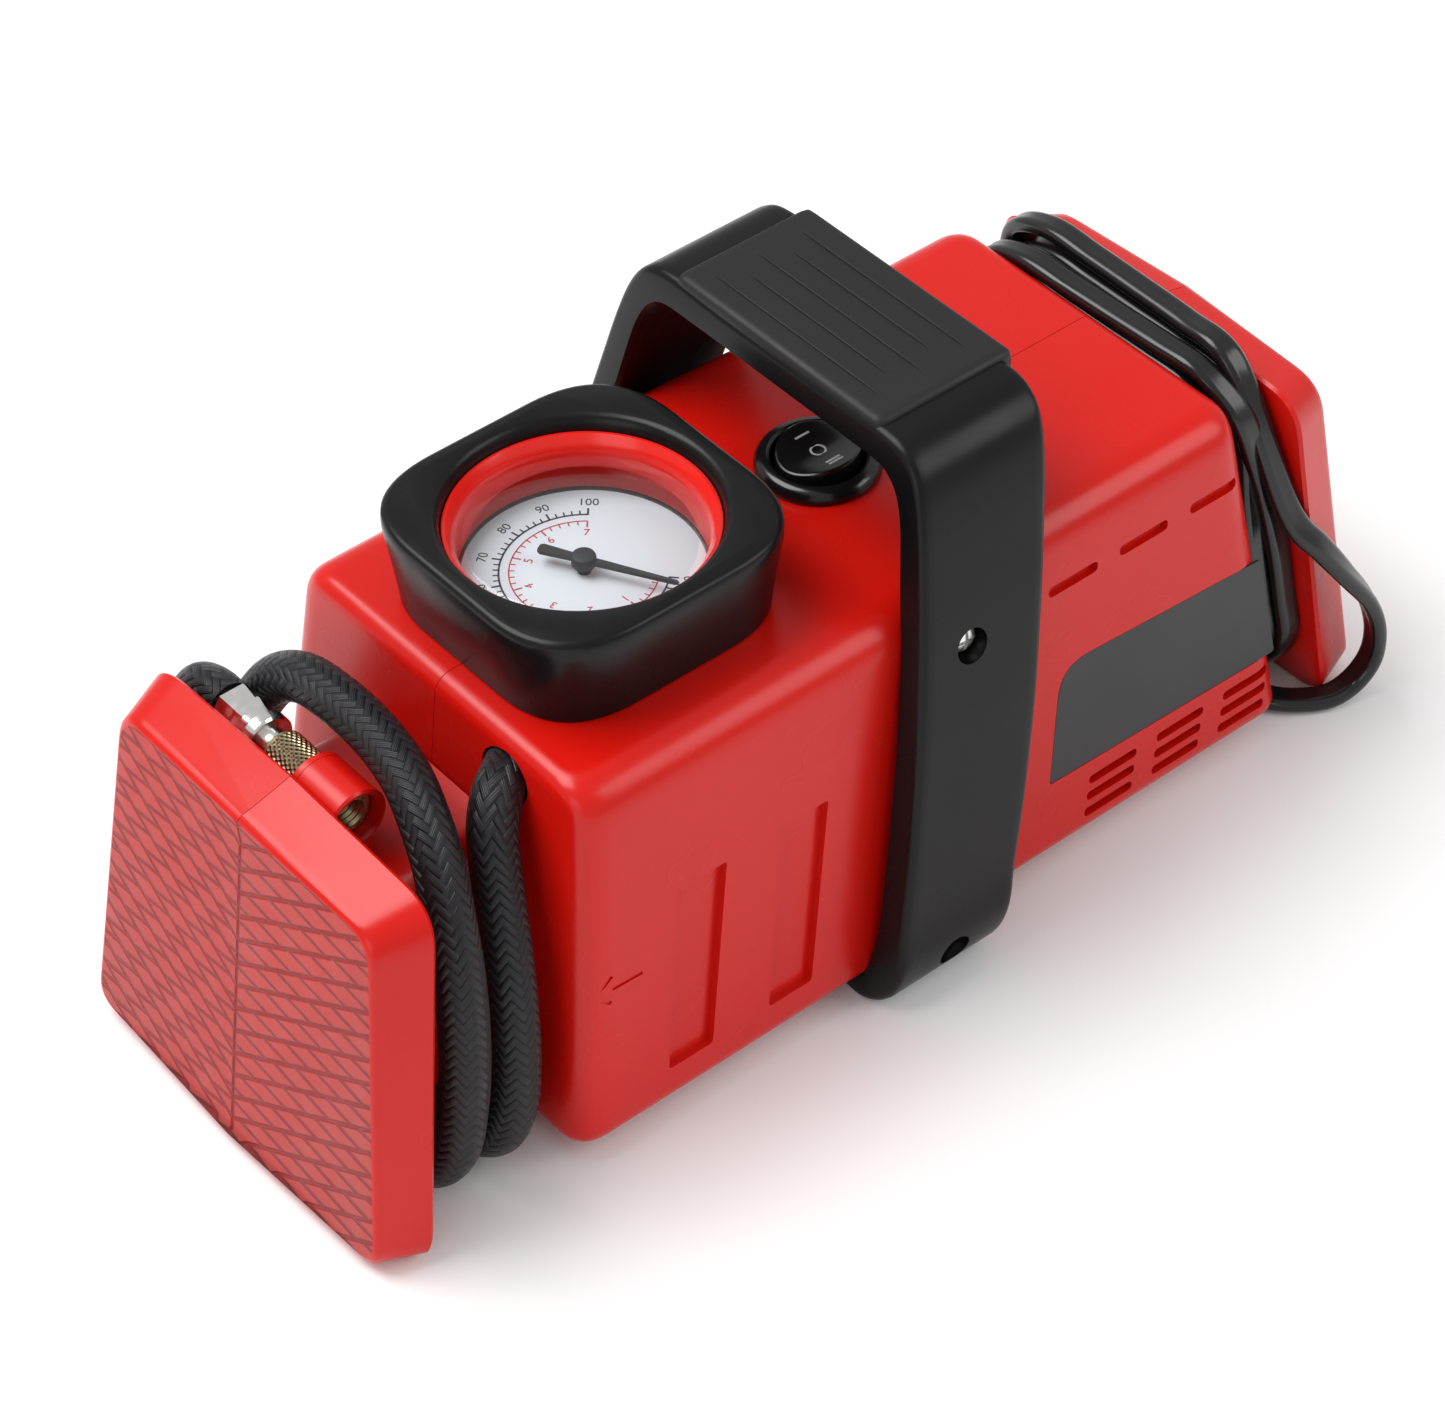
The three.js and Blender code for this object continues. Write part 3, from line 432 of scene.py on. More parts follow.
CHROME = metal("chrome", (0.90, 0.89, 0.87), (0.78, 0.77, 0.75), 0.17, scale=500, strength=0.05)
ZINC = metal("zinc", (0.88, 0.88, 0.87), (0.74, 0.74, 0.73), 0.3, strength=0.05)
BRASS = metal("brass", (0.58, 0.47, 0.27), (0.46, 0.37, 0.21), 0.3)
STEEL = metal("steel", (0.46, 0.47, 0.48), (0.36, 0.37, 0.38), 0.36)
ALUMINIUM = metal("aluminium", (0.60, 0.61, 0.62), (0.50, 0.51, 0.52), 0.45, scale=700, strength=0.3)


def to_edge(tree, value):
    """How far a value is from the nearest whole number."""
    wave = math_node(tree, "FRACT", math_node(tree, "ADD", value, 0.5))
    return math_node(tree, "ABSOLUTE", math_node(tree, "SUBTRACT", wave, 0.5))


def tube_uv(tree, around, along):
    """The tube's two UV values, each times its own factor."""
    uv = tree.nodes.new("ShaderNodeUVMap")
    uv.uv_map = "tube"
    split = tree.nodes.new("ShaderNodeSeparateXYZ")
    tree.links.new(uv.outputs["UV"], split.inputs[0])
    return [math_node(tree, "MULTIPLY", split.outputs[i], times) for i, times in enumerate((around, along))]


def plate_face_material():
    """Matte red with grooves: rows that climb away from the middle, crossed by short level grooves. The
    grooves are painted darker as shade and the raised face is painted a lighter pinkish red as a sheen.
    """
    material, tree, shader = new_material("red_face")
    calc = partial(math_node, tree)
    where = tree.nodes.new("ShaderNodeTexCoord")
    split = tree.nodes.new("ShaderNodeSeparateXYZ")
    tree.links.new(where.outputs["Object"], split.inputs[0])
    row_pitch, row_start, climb, level_drop = 5.22, 0.35, 0.58, 0.10
    cell_pitch, cell_start, climb_cosine = 6.1, 1.7, 0.865
    a = calc("MULTIPLY", calc("ABSOLUTE", split.outputs[1]), 1000.0)
    z = calc("MULTIPLY", split.outputs[2], 1000.0)
    climbed = calc("SUBTRACT", z, calc("MULTIPLY", a, climb))
    rows = calc("DIVIDE", calc("SUBTRACT", climbed, row_start), row_pitch)
    row = calc("FLOOR", rows)
    row_gap = calc("MULTIPLY", to_edge(tree, rows), row_pitch * climb_cosine)
    risen = calc("MULTIPLY", calc("ADD", row, 1.0), row_pitch)
    upper = calc("ADD", risen, row_start)
    level = calc("ADD", z, calc("MULTIPLY", a, level_drop))
    meet = calc("DIVIDE", calc("SUBTRACT", level, upper), climb + level_drop)
    odd = calc("MULTIPLY", calc("MODULO", row, 2.0), cell_pitch / 2)
    shifted = calc("SUBTRACT", calc("SUBTRACT", meet, cell_start), odd)
    cells = calc("DIVIDE", shifted, cell_pitch)
    cell_gap = calc("MULTIPLY", to_edge(tree, cells), cell_pitch * (climb + level_drop))
    nearest = calc("MINIMUM", calc("MINIMUM", row_gap, cell_gap), a)
    height = ramp(tree, nearest, 0.0, 1.0, 0.22, 0.55)
    # painted shade and sheen: dark red down in the grooves, a lighter pinkish red on the raised face where
    # the sheen would be
    colour = mix_colour(tree, height, (0.26, 0.003, 0.002), (0.45, 0.040, 0.034))
    shade = mix_colour(tree, ramp(tree, noise(tree, 60, 4), 0.0, 0.12), colour, (0.5, 0.02, 0.02))
    tree.links.new(shade, shader.inputs["Base Color"])
    tree.links.new(ramp(tree, noise(tree, 200, 4), 0.48, 0.6), shader.inputs["Roughness"])
    fine = calc("ADD", height, calc("MULTIPLY", noise(tree, 2400, 2), 0.08))
    bump(tree, shader, fine, 1.0, 0.45)
    return material


def braid_material():
    """A flat-strand braid: two families of strands cross, each over two and under two. The strands on top are
    painted lighter as a sheen and the edges of each strand painted darker as shade.
    """
    material, tree, shader = new_material("hose_braid")
    calc = partial(math_node, tree)
    strands, slant = 14.0, 0.92
    u, v = tube_uv(tree, strands, strands * slant)
    left, right = calc("ADD", u, v), calc("SUBTRACT", u, v)
    total = calc("ADD", calc("FLOOR", left), calc("FLOOR", right))
    over = calc("LESS_THAN", calc("FLOORED_MODULO", total, 4.0), 1.5)

    def ridge(value):
        return calc("POWER", calc("SINE", calc("MULTIPLY", calc("FRACT", value), math.pi)), 0.45)

    def threads(value):
        return calc("SINE", calc("MULTIPLY", value, 2 * math.pi * 5))

    def choose(a, b):
        chosen = tree.nodes.new("ShaderNodeMix")
        tree.links.new(over, chosen.inputs[0])
        tree.links.new(a, chosen.inputs[3])
        tree.links.new(b, chosen.inputs[2])
        return chosen.outputs[0]

    height = choose(ridge(left), ridge(right))
    thread = choose(threads(left), threads(right))
    # painted sheen: the strands lying on top get a lighter colour than the ones under them
    strand_sheen = mix_colour(tree, over, (0.0045, 0.005, 0.007), (0.008, 0.0085, 0.011))
    # painted shade: darker towards the edges of each strand, where the strands dip into each other
    shade = mix_colour(tree, height, (0.0015, 0.0015, 0.002), strand_sheen)
    tree.links.new(shade, shader.inputs["Base Color"])
    tree.links.new(ramp(tree, noise(tree, 300, 4), 0.32, 0.5), shader.inputs["Roughness"])
    shader.inputs["Specular IOR Level"].default_value = 0.38
    relief = calc("ADD", height, calc("MULTIPLY", thread, 0.07))
    bump(tree, shader, relief, 1.0, 0.35)
    return material


def knurl_material():
    """Brass with crossed diamond knurling."""
    material, tree, shader = new_material("brass_knurl")
    calc = partial(math_node, tree)
    lines, slant = 26.0, 0.75
    u, v = tube_uv(tree, lines, lines * slant)

    def groove(value):
        wave = calc("SUBTRACT", calc("FRACT", value), 0.5)
        return calc("SUBTRACT", 0.5, calc("ABSOLUTE", wave))

    one, other = groove(calc("ADD", u, v)), groove(calc("SUBTRACT", u, v))
    height = calc("ADD", one, other)
    # painted shade: the low parts of the knurl relief are darker brass, the raised lines lighter
    shade = mix_colour(tree, height, (0.62, 0.52, 0.32), (0.26, 0.19, 0.09))
    tree.links.new(shade, shader.inputs["Base Color"])
    tree.links.new(ramp(tree, noise(tree, 300, 4), 0.22, 0.36), shader.inputs["Roughness"])
    shader.inputs["Metallic"].default_value = 1.0
    bump(tree, shader, calc("SUBTRACT", 1.0, height), 1.0, 0.45)
    return material


def clear_material():
    """Clear moulded plastic: see-through, with reflections that grow at a glancing angle."""
    material, tree, shader = new_material("clear_plastic")
    tree.nodes.remove(shader)
    output = tree.nodes["Material Output"]
    through = tree.nodes.new("ShaderNodeBsdfTransparent")
    through.inputs[0].default_value = (0.97, 0.98, 0.985, 1)
    gloss = tree.nodes.new("ShaderNodeBsdfGlossy")
    gloss.inputs["Color"].default_value = (0.95, 0.95, 0.95, 1)
    tree.links.new(ramp(tree, noise(tree, 150, 4), 0.02, 0.07), gloss.inputs["Roughness"])
    fresnel = tree.nodes.new("ShaderNodeFresnel")
    fresnel.inputs["IOR"].default_value = 1.38
    facing = tree.nodes.new("ShaderNodeNewGeometry")
    outer_only = math_node(tree, "MULTIPLY", fresnel.outputs[0], math_node(
        tree, "SUBTRACT", 1.0, facing.outputs["Backfacing"]))
    mix = tree.nodes.new("ShaderNodeMixShader")
    tree.links.new(outer_only, mix.inputs[0])
    tree.links.new(through.outputs[0], mix.inputs[1])
    tree.links.new(gloss.outputs[0], mix.inputs[2])
    tree.links.new(mix.outputs[0], output.inputs["Surface"])
    return material


FACE = plate_face_material()
BRAID = braid_material()
KNURL = knurl_material()
CLEAR = clear_material()

# ------------------------------------------------------------------ air hose
HOSE_D = 9.0
HOSE_ROUTE = [
    (-58, -10, 67.4), (-63, -14.6, 71), (-68, -19, 73.2), (-73, -22.6, 73.4), (-76.5, -25.5, 69.6),
    (-78.5, -28.8, 61.4), (-80.5, -32.8, 51.4), (-82.5, -36.4, 41), (-84, -38.5, 28.7), (-85.3, -38.6, 18.4),
    (-86.6, -35.4, 9.6), (-87.8, -28, 5.3), (-88.6, -14, 4.9), (-88.8, 0, 4.9), (-88.8, 14, 4.9),
    (-88.8, 28, 5.4), (-88.4, 36, 9.8), (-88, 39.6, 19), (-87.4, 39.6, 31), (-86.7, 37.6, 44),
    (-85.9, 34, 56), (-84.8, 29, 67), (-83.9, 23.6, 74), (-83.3, 17, 78), (-83, 9, 79.3),
    (-83, 1, 79.4), (-83.6, -7, 78.9), (-85, -14.5, 77.8), (-87, -21, 75.6), (-89, -27, 71.4),
    (-91.2, -32.2, 64.4), (-92.9, -36.4, 54.5), (-94.4, -38.8, 41.5), (-96, -39.4, 27.6), (-97.4, -37.6, 15),
    (-98.4, -32.4, 7.4), (-98.9, -24, 4.9), (-99, -10, 4.9), (-99, 6, 4.9), (-98.9, 22, 4.9),
    (-98.4, 33, 8.2), (-97.8, 38.4, 17), (-97, 40.8, 30), (-96, 41.4, 43), (-94.9, 40.6, 55),
    (-93.9, 38, 64), (-93.5, 34.6, 69.6), (-93.4, 30.4, 71.5), (CHUCK_X, 26, CHUCK_Z),
]


def round_section(radius, sides):
    return {"sides": sides, "at": lambda a: (radius * math.cos(a), radius * math.sin(a))}


def make_hose():
    path = smooth_path(HOSE_ROUTE, 1.0)
    sides = 40
    carried = parallel_sideways(path, (0, 0, 1))
    verts, faces = swept(path, round_section(HOSE_D / 2, sides), lambda i: carried[i])
    hose = piece("hose", verts, faces, BRAID, slot="hose_braid", replaces=("air_hose",))
    give_tube_uv(hose.data, path, sides, math.pi * HOSE_D)
    return hose, path


hose, hose_path = make_hose()

# ------------------------------------------------------------------ mains cord
CORD_W, CORD_T = 5.4, 3.4
LEAD_ROUTE = [
    (94.1, -24, 48), (96.6, -24, 47.5), (98.4, -24.1, 44), (99.3, -24.6, 39.5), (99.6, -25.4, 35.8),
]
RUN_ROUTE = [
    (98.8, -41.8, 49), (103.4, -45, 42), (109, -47.4, 33.4), (114.6, -48.6, 24.6), (117.4, -49, 15.6),
    (117.2, -48.6, 8), (113.8, -47.8, 3.4), (108.5, -46.9, 2), (103.6, -44.2, 2), (99.9, -40.5, 2),
    (97.6, -35, 2), (95, -27, 2), (91.5, -14, 2), (88, 0, 2), (84, 14, 2), (80, 28, 2), (75.8, 42, 2),
    (71, 54, 2.1), (64, 67, 3.4), (57, 73.6, 5.8), (50.3, 75.5, 7.1),
]
TURNS = 5.0
TURN_POINTS = 24
COIL_START_Z = 38


def coil_mid_x(z):
    """The middle of the gap between the housing's end and the rear plate."""
    return (rear_x(0) + PLATE_FOOT - PLATE_THICK) / 2 - (REAR_LEAN + PLATE_LEAN) / 2 * z


def coil_point(turn):
    """A place on the wound cord, turn counted from the inner end at the middle of the near side."""
    layer = turn / TURNS
    grow = 1.9 + 8.0 * layer
    low = 11.5 - (1.6 + 6.6 * layer)
    foot, head, top = 31 + grow, 25 + grow, 71 + grow * 1.18
    corners = [(-foot, low, 14), (foot, low, 14), (head, top, 14), (-head, top, 14)]
    outline = spread(rounded_polygon(corners, 12), 1.0)
    near = [i for i, (y, _) in enumerate(outline) if y <= 0]
    start = min(near, key=lambda i: abs(outline[i][1] - COIL_START_Z))
    place = (turn % 1.0) * len(outline)
    i = int(place)
    a, b = outline[(start + i) % len(outline)], outline[(start + i + 1) % len(outline)]
    y, z = (p + (q - p) * (place - i) for p, q in zip(a, b))
    side = math.tanh(4 * math.sin(math.pi * turn + 0.25))
    return coil_mid_x(z) + side * (2.75 + 0.012 * z) + 0.7 * math.sin(2 * math.pi * turn * 1.31 + 1.0), y, z


def across_of_run(path):
    """The wide direction of the loose cord: level where it lies, and turned smoothly from the winding."""
    landing = next(i for i, p in enumerate(path) if p[2] < 2.3)
    lying = path[landing:]
    level = []
    for i in range(len(lying)):
        along = lying[min(i + 1, len(lying) - 1)] - lying[max(i - 1, 0)]
        flat = np.cross(along, (0, 0, 1.0))
        level.append(flat / np.linalg.norm(flat))
    falling = parallel_sideways(path[:landing + 1][::-1], level[0])[::-1][:-1]
    out = []
    for i, across in enumerate(falling):
        start = np.array([1.0, 0, 0]) * math.copysign(1, across[0])
        share = max(0.0, 1 - i / (0.6 * len(falling)))
        out.append(across * (1 - share) + start * share)
    return [np.array(a) * math.copysign(1, falling[0][0]) for a in out + level]


def make_cord():
    coil = [coil_point(k / TURN_POINTS) for k in range(1, int(TURN_POINTS * TURNS) - 3)]
    path = smooth_path(LEAD_ROUTE + coil + RUN_ROUTE, 1.4)
    sides = 24
    run_start = min(range(len(path)), key=lambda i: float(np.linalg.norm(path[i] - np.array(RUN_ROUTE[0]))))
    run_across = across_of_run(path[run_start:])

    def sideways(i):
        return np.array([1.0, 0, 0]) if i < run_start else run_across[i - run_start]

    def flat(a):
        c, s = math.cos(a), math.sin(a)
        waist = 1 - 0.16 * math.exp(-(c / 0.22) ** 2)
        wide = CORD_W / 2 * math.copysign(abs(c) ** 0.8, c)
        return wide, CORD_T / 2 * math.copysign(abs(s) ** 0.7, s) * waist

    verts, faces = swept(path, {"sides": sides, "at": flat}, sideways)
    cord = piece("mains_cord", verts, faces, CORD, slot="cord_pvc", smooth=60,
                 replaces=("mains_cord_coil", "mains_cord_lead", "mains_cord_run"))
    return cord, path


cord, cord_path = make_cord()

# ------------------------------------------------------------------ plug on the cord
PLUG_Y, PLUG_Z = 75.5, 7.1


def make_plug():
    stations = [
        (14.0, 15.6, 5.2, 4), (14.5, 16.8, 6.3, 4), (16, 17.3, 6.8, 4), (27, 17.3, 6.8, 4),
        (31, 15.6, 6.4, 4), (36, 12.2, 5.7, 4), (41, 9.0, 5.0, 3.6), (45, 6.4, 4.4, 3.2), (46, 5.2, 3.9, 2.8),
    ]
    rings = []
    for x, half, thick, r in stations:
        outline = rectangle((-half, half), (-thick, thick), r, 8)
        rings.append([(x, PLUG_Y + a, PLUG_Z + b) for a, b in outline])
    relief = [(2.9, 45.6), (2.9, 46.6), (2.4, 46.8), (2.4, 47.6), (2.8, 47.8), (2.8, 48.8), (2.4, 49.0),
              (2.4, 49.6)]
    body = merge(loft(rings), turned(relief, (0, PLUG_Y, PLUG_Z), "x", 32))
    plug = piece("plug_body", *body, CORD, slot="cord_pvc", smooth=40, replaces=("mains_plug",))
    shank = [(0.0, -5.0), (1.4, -4.9), (2.0, -4.0), (2.0, 4.0), (1.85, 4.2), (1.85, 14.4)]
    pins = merge(*[turned(shank, (0, PLUG_Y + y, PLUG_Z), "x", 32) for y in (-9.3, 9.3)])
    return plug, piece("plug_pins", *pins, CHROME, slot="chrome")


plug_body, plug_pins = make_plug()

# ------------------------------------------------------------------ ferrule and screw-on chuck
BARREL_R = 4.4
KNURL_Y = (-8, 10.4)


def make_ferrule():
    # place along Y, radius, and how far the section is hexagonal
    stations = [
        (12.0, 3.0, 0), (13.9, 3.0, 0), (14.1, 4.5, 0), (14.5, 4.85, 0), (16.4, 4.85, 0), (17.2, 4.3, 0.2),
        (18.6, 4.5, 0.7), (20.2, 5.0, 1.0), (20.8, 4.9, 1.0), (21.0, 4.4, 0.6), (21.6, 4.5, 0.8),
        (24.4, 4.95, 1.0), (25.0, 4.9, 0.9), (25.4, 4.5, 0.7),
    ]
    rings = []
    for y, r, hexed in stations:
        ring = []
        for k in range(72):
            a = 2 * math.pi * k / 72
            flat = math.cos(math.pi / 6) / math.cos((a % (math.pi / 3)) - math.pi / 6)
            rr = r * (1 - hexed * (1 - flat) * 1.1)
            ring.append((CHUCK_X + rr * math.cos(a), y, CHUCK_Z + rr * math.sin(a)))
        rings.append(ring)
    return piece("crimp_ferrule", *loft(rings), CHROME, slot="chrome", smooth=14, replaces=("hose_ferrule",))


def make_chuck():
    centre = (CHUCK_X, 0, CHUCK_Z)
    knurled = [(BARREL_R, KNURL_Y[0] + (KNURL_Y[1] - KNURL_Y[0]) * k / 8) for k in range(9)]
    end = [(4.25, 10.9), (3.7, 11.3), (3.3, 11.7), (3.3, 11.2), (1.2, 11.2), (1.2, -1.6)]
    thread = [(2.9 + 0.4 * (k % 2), -9.0 + 0.55 * k) for k in range(13, -1, -1)]
    profile = [(3.5, -9.0), (4.25, -8.6)] + knurled + end + thread
    barrel = piece("knurled_barrel", *turned(profile, centre, "y", 64, True),
                   KNURL, body="chuck", slot="brass", smooth=30, replaces=("chuck_barrel",))
    layer = barrel.data.uv_layers.new(name="tube")
    for polygon in barrel.data.polygons:
        corners = [barrel.data.vertices[v].co for v in polygon.vertices]
        angles = [math.atan2(c.z / MM - CHUCK_Z, c.x / MM - CHUCK_X) / (2 * math.pi) for c in corners]
        wraps = max(angles) - min(angles) > 0.5
        for loop, angle, corner in zip(polygon.loop_indices, angles, corners):
            u = angle + (1 if wraps and angle < 0 else 0)
            layer.data[loop].uv = (u, corner.y / MM / (2 * math.pi * BARREL_R))
    barrel.data.materials.append(BRASS)
    for polygon in barrel.data.polygons:
        y = polygon.center.y / MM
        near = math.hypot(polygon.center.x / MM - CHUCK_X, polygon.center.z / MM - CHUCK_Z)
        polygon.material_index = 0 if near > 4.3 and KNURL_Y[0] < y < KNURL_Y[1] else 1
    return barrel


ferrule = make_ferrule()
barrel = make_chuck()

# ------------------------------------------------------------------ housing
def body_rings(inset):
    """Rings up the housing, with sloping ends and sides and soft edges."""
    side_r, end_r, low_r = 7.0, 3.2, 4.2
    levels = [BODY_BOTTOM + low_r * (1 - math.cos(math.pi / 2 * k / 6)) for k in range(7)]
    levels += [BODY_BOTTOM + low_r + (BODY_TOP - side_r - BODY_BOTTOM - low_r) * k / 14 for k in range(1, 14)]
    levels += [BODY_TOP - side_r * (1 - math.sin(math.pi / 2 * k / 10)) for k in range(11)]
    rings = []
    for z in levels:
        def curl(r):
            up, down = z - (BODY_TOP - r), BODY_BOTTOM + min(r, low_r) - z
            r2 = min(r, low_r)
            if up > 0:
                return r - math.sqrt(max(r * r - up * up, 0))
            return r2 - math.sqrt(max(r2 * r2 - down * down, 0)) if down > 0 else 0
        side, end = curl(side_r) + inset, curl(end_r) + inset
        level = min(max(z, BODY_BOTTOM + inset), BODY_TOP - inset)
        x0, x1 = front_x(z) + end, rear_x(z) - end
        corner = max(6.5 - 0.45 * curl(side_r), 2.0)
        w0, w1 = half_width(x0, z) - side, half_width(x1, z) - side
        corners = [(x0, -w0, corner), (x1, -w1, corner), (x1, w1, corner), (x0, w0, corner)]
        outline = rounded_polygon(corners, 8)
        count = 44
        ring = []
        for i, p in enumerate(outline):
            q = outline[(i + 1) % len(outline)]
            steps = count if (i + 1) % 18 == 9 else (14 if (i + 1) % 9 == 0 else 1)
            for k in range(steps):
                t = k / steps
                x, y = p[0] + (q[0] - p[0]) * t, p[1] + (q[1] - p[1]) * t
                if steps == count:
                    y = math.copysign(half_width(x, z) - side, y)
                ring.append((x, y, level))
        rings.append(ring)
    return rings


def side_prism(outline, side, outside, inside):
    """A cutter over an outline in (x, z) that follows the housing's side from outside it to inside it."""
    near = [(x, side * (half_width(x, z) + outside), z) for x, z in outline]
    far = [(x, side * (half_width(x, z) - inside), z) for x, z in outline]
    return loft([near, far])


def slot_outline(x, z, length, height, lean=0.0):
    r = height / 2
    far = x + length
    corners = [(x, z - r, r), (far, z - r + lean, r), (far, z + r + lean, r), (x, z + r, r)]
    return rounded_polygon(corners, 5)


UPPER_SLOTS = (36.8, 54.2, 71.8)
VENT_COLUMNS, VENT_ROWS = (45.8, 63.2, 80.6), (17.0, 13.4, 9.8)
CASE_SCREWS = [(-60, 52), (-63, 16), (76, 70), (84, 12)]
STRAP_SCREWS = [(12, 73.2), (3.6, 8.2)]


def label_outline(grow):
    corners = [(36 - grow, 22 - grow, 1), (94.2 + grow, 20.6 - grow, 1), (90.2 + grow, 44.6 + grow, 1),
               (39.4 - grow, 47.8 + grow, 7)]
    return rounded_polygon(corners, 8)


def body_cutters(side):
    columns = 3 if side < 0 else 2   # the last slot and vent column give way to the screws on the far side
    cutters = [side_prism(slot_outline(x, 66, 12, 2.3), side, 3, 1.4) for x in UPPER_SLOTS[:columns]]
    for x in VENT_COLUMNS[:columns]:
        for row, z in enumerate(VENT_ROWS):
            cutters.append(side_prism(slot_outline(x - 0.7 * row, z, 12.2, 2.0), side, 3, 4))
    for x in (-51, -28):
        foot = x - 0.145 * 38.6
        panel = [(foot, 12.6, 0.8), (foot + 10, 12.6, 0.8), (x + 11, 51.2, 0.8), (x, 51.2, 0.8)]
        cutters.append(side_prism(spread(rounded_polygon(panel, 4), 6), side, 2, 1.5))
    if side < 0:
        cutters.append(side_prism(slot_outline(70.9, 49.4, 20.5, 0.8, -1.2), side, 2, 0.5))
        cutters.append(side_prism(spread(label_outline(0.15), 6), side, 2, 0.55))
        arrow = [(-71, 38.4), (-66.6, 41.6), (-66.2, 41.0), (-69.4, 38.6), (-66.9, 35.8), (-67.4, 35.3)]
        cutters.append(side_prism(arrow, side, 2, 0.35))
        cutters.append(side_prism([(-66.6, 38.1), (-60, 37.8), (-60, 38.5), (-66.6, 38.8)], side, 2, 0.35))
    return cutters


def screw_holes():
    return [cylinder((x, half_width(x, z) - 5, z), (x, 60, z), 3.3) for x, z in CASE_SCREWS]


def half_space(side, gap=0.07):
    return box((-200, 200), (gap, 200) if side > 0 else (-200, -gap), (-200, 200))


def make_housing():
    for side, name, node_name in ((-1, "shell_near", "housing_left"), (1, "shell_far", "housing_right")):
        work = scratch(*loft(body_rings(0)))
        boolean(work, [loft(body_rings(2.5))])
        boolean(work, [half_space(side)], "INTERSECT")
        holes = [cylinder((GAUGE_X, 0, 70), (GAUGE_X, 0, 90), 23.6, 64),
                 cylinder((SWITCH_X, 0, 70), (SWITCH_X, 0, 90), 10.1, 48)]
        exit_path = smooth_path(HOSE_ROUTE[1:5], 2.0)
        carried = parallel_sideways(exit_path, (0, 0, 1))
        holes.append(swept(exit_path, round_section(HOSE_D / 2 + 0.45, 32), lambda i: carried[i]))
        holes.append(cylinder((80, -24, 48), (100, -24, 48), 2.8))
        boolean(work, holes)
        boolean(work, [merge(*body_cutters(side))])
        if side > 0:
            boolean(work, [merge(*screw_holes())])
        obj = dress(take(work), name, RED, smooth=30, replaces=(node_name,))
        soften(obj, 0.22)


def soften(obj, width, angle=40.0, segments=2):
    """A fine bevel on the hard edges, so that they catch light."""
    modifier = obj.modifiers.new("edges", "BEVEL")
    modifier.width, modifier.segments = width * MM, segments
    modifier.limit_method, modifier.angle_limit = "ANGLE", math.radians(angle)
    modifier.harden_normals = True
    modifier.use_clamp_overlap = True


make_housing()

# ------------------------------------------------------------------ reels
def plate_rings(end):
    """Rings across an end plate, from the winding side to the outer face."""
    back = [(-45.6, 0, 7), (0, -0.2, 0), (45.6, 0, 7), (39.8, 76, 8), (0, 77.3, 0), (-39.8, 76, 8)]
    face = [(-42.5, 2.6, 5), (0, 1.7, 0), (42.5, 2.6, 5), (36.2, 73.2, 6.5), (0, 74.6, 0), (-36.2, 73.2, 6.5)]
    back, face = rounded_polygon(back, 10), rounded_polygon(face, 10)
    # depth into the plate, share of the way from the back outline to the face outline, and shrinkage
    steps = [(0.0, 0.06, 1.4), (0.2, 0.0, 0.5), (0.9, 0.0, 0.0), (9.0, 0.86, 0.0), (9.9, 0.97, 0.0),
             (10.3, 1.04, 0.3), (10.5, 1.08, 0.8)]
    rings = []
    for depth, blend, shrink in steps:
        ring = []
        for (ya, za), (yb, zb) in zip(back, face):
            y, z = ya + (yb - ya) * blend, za + (zb - za) * blend
            scale = 1 - shrink / 45
            y, z = y * scale, 38 + (z - 38) * scale
            ridge = 1.1 * (1 - min(abs(y) / 42, 1)) * max(0.0, (depth - 9) / 1.5)
            x = PLATE_FOOT - PLATE_THICK + depth + ridge - PLATE_LEAN * z
            ring.append((end * x, y, z))
        rings.append(ring)
    return rings


HOLDER_RIB = ((-6, 60), (3.6, 60), (2.6, 68), (-6, 74))    # under the tube that stores the chuck
SMALLEST_FACE = 20 * MM * MM


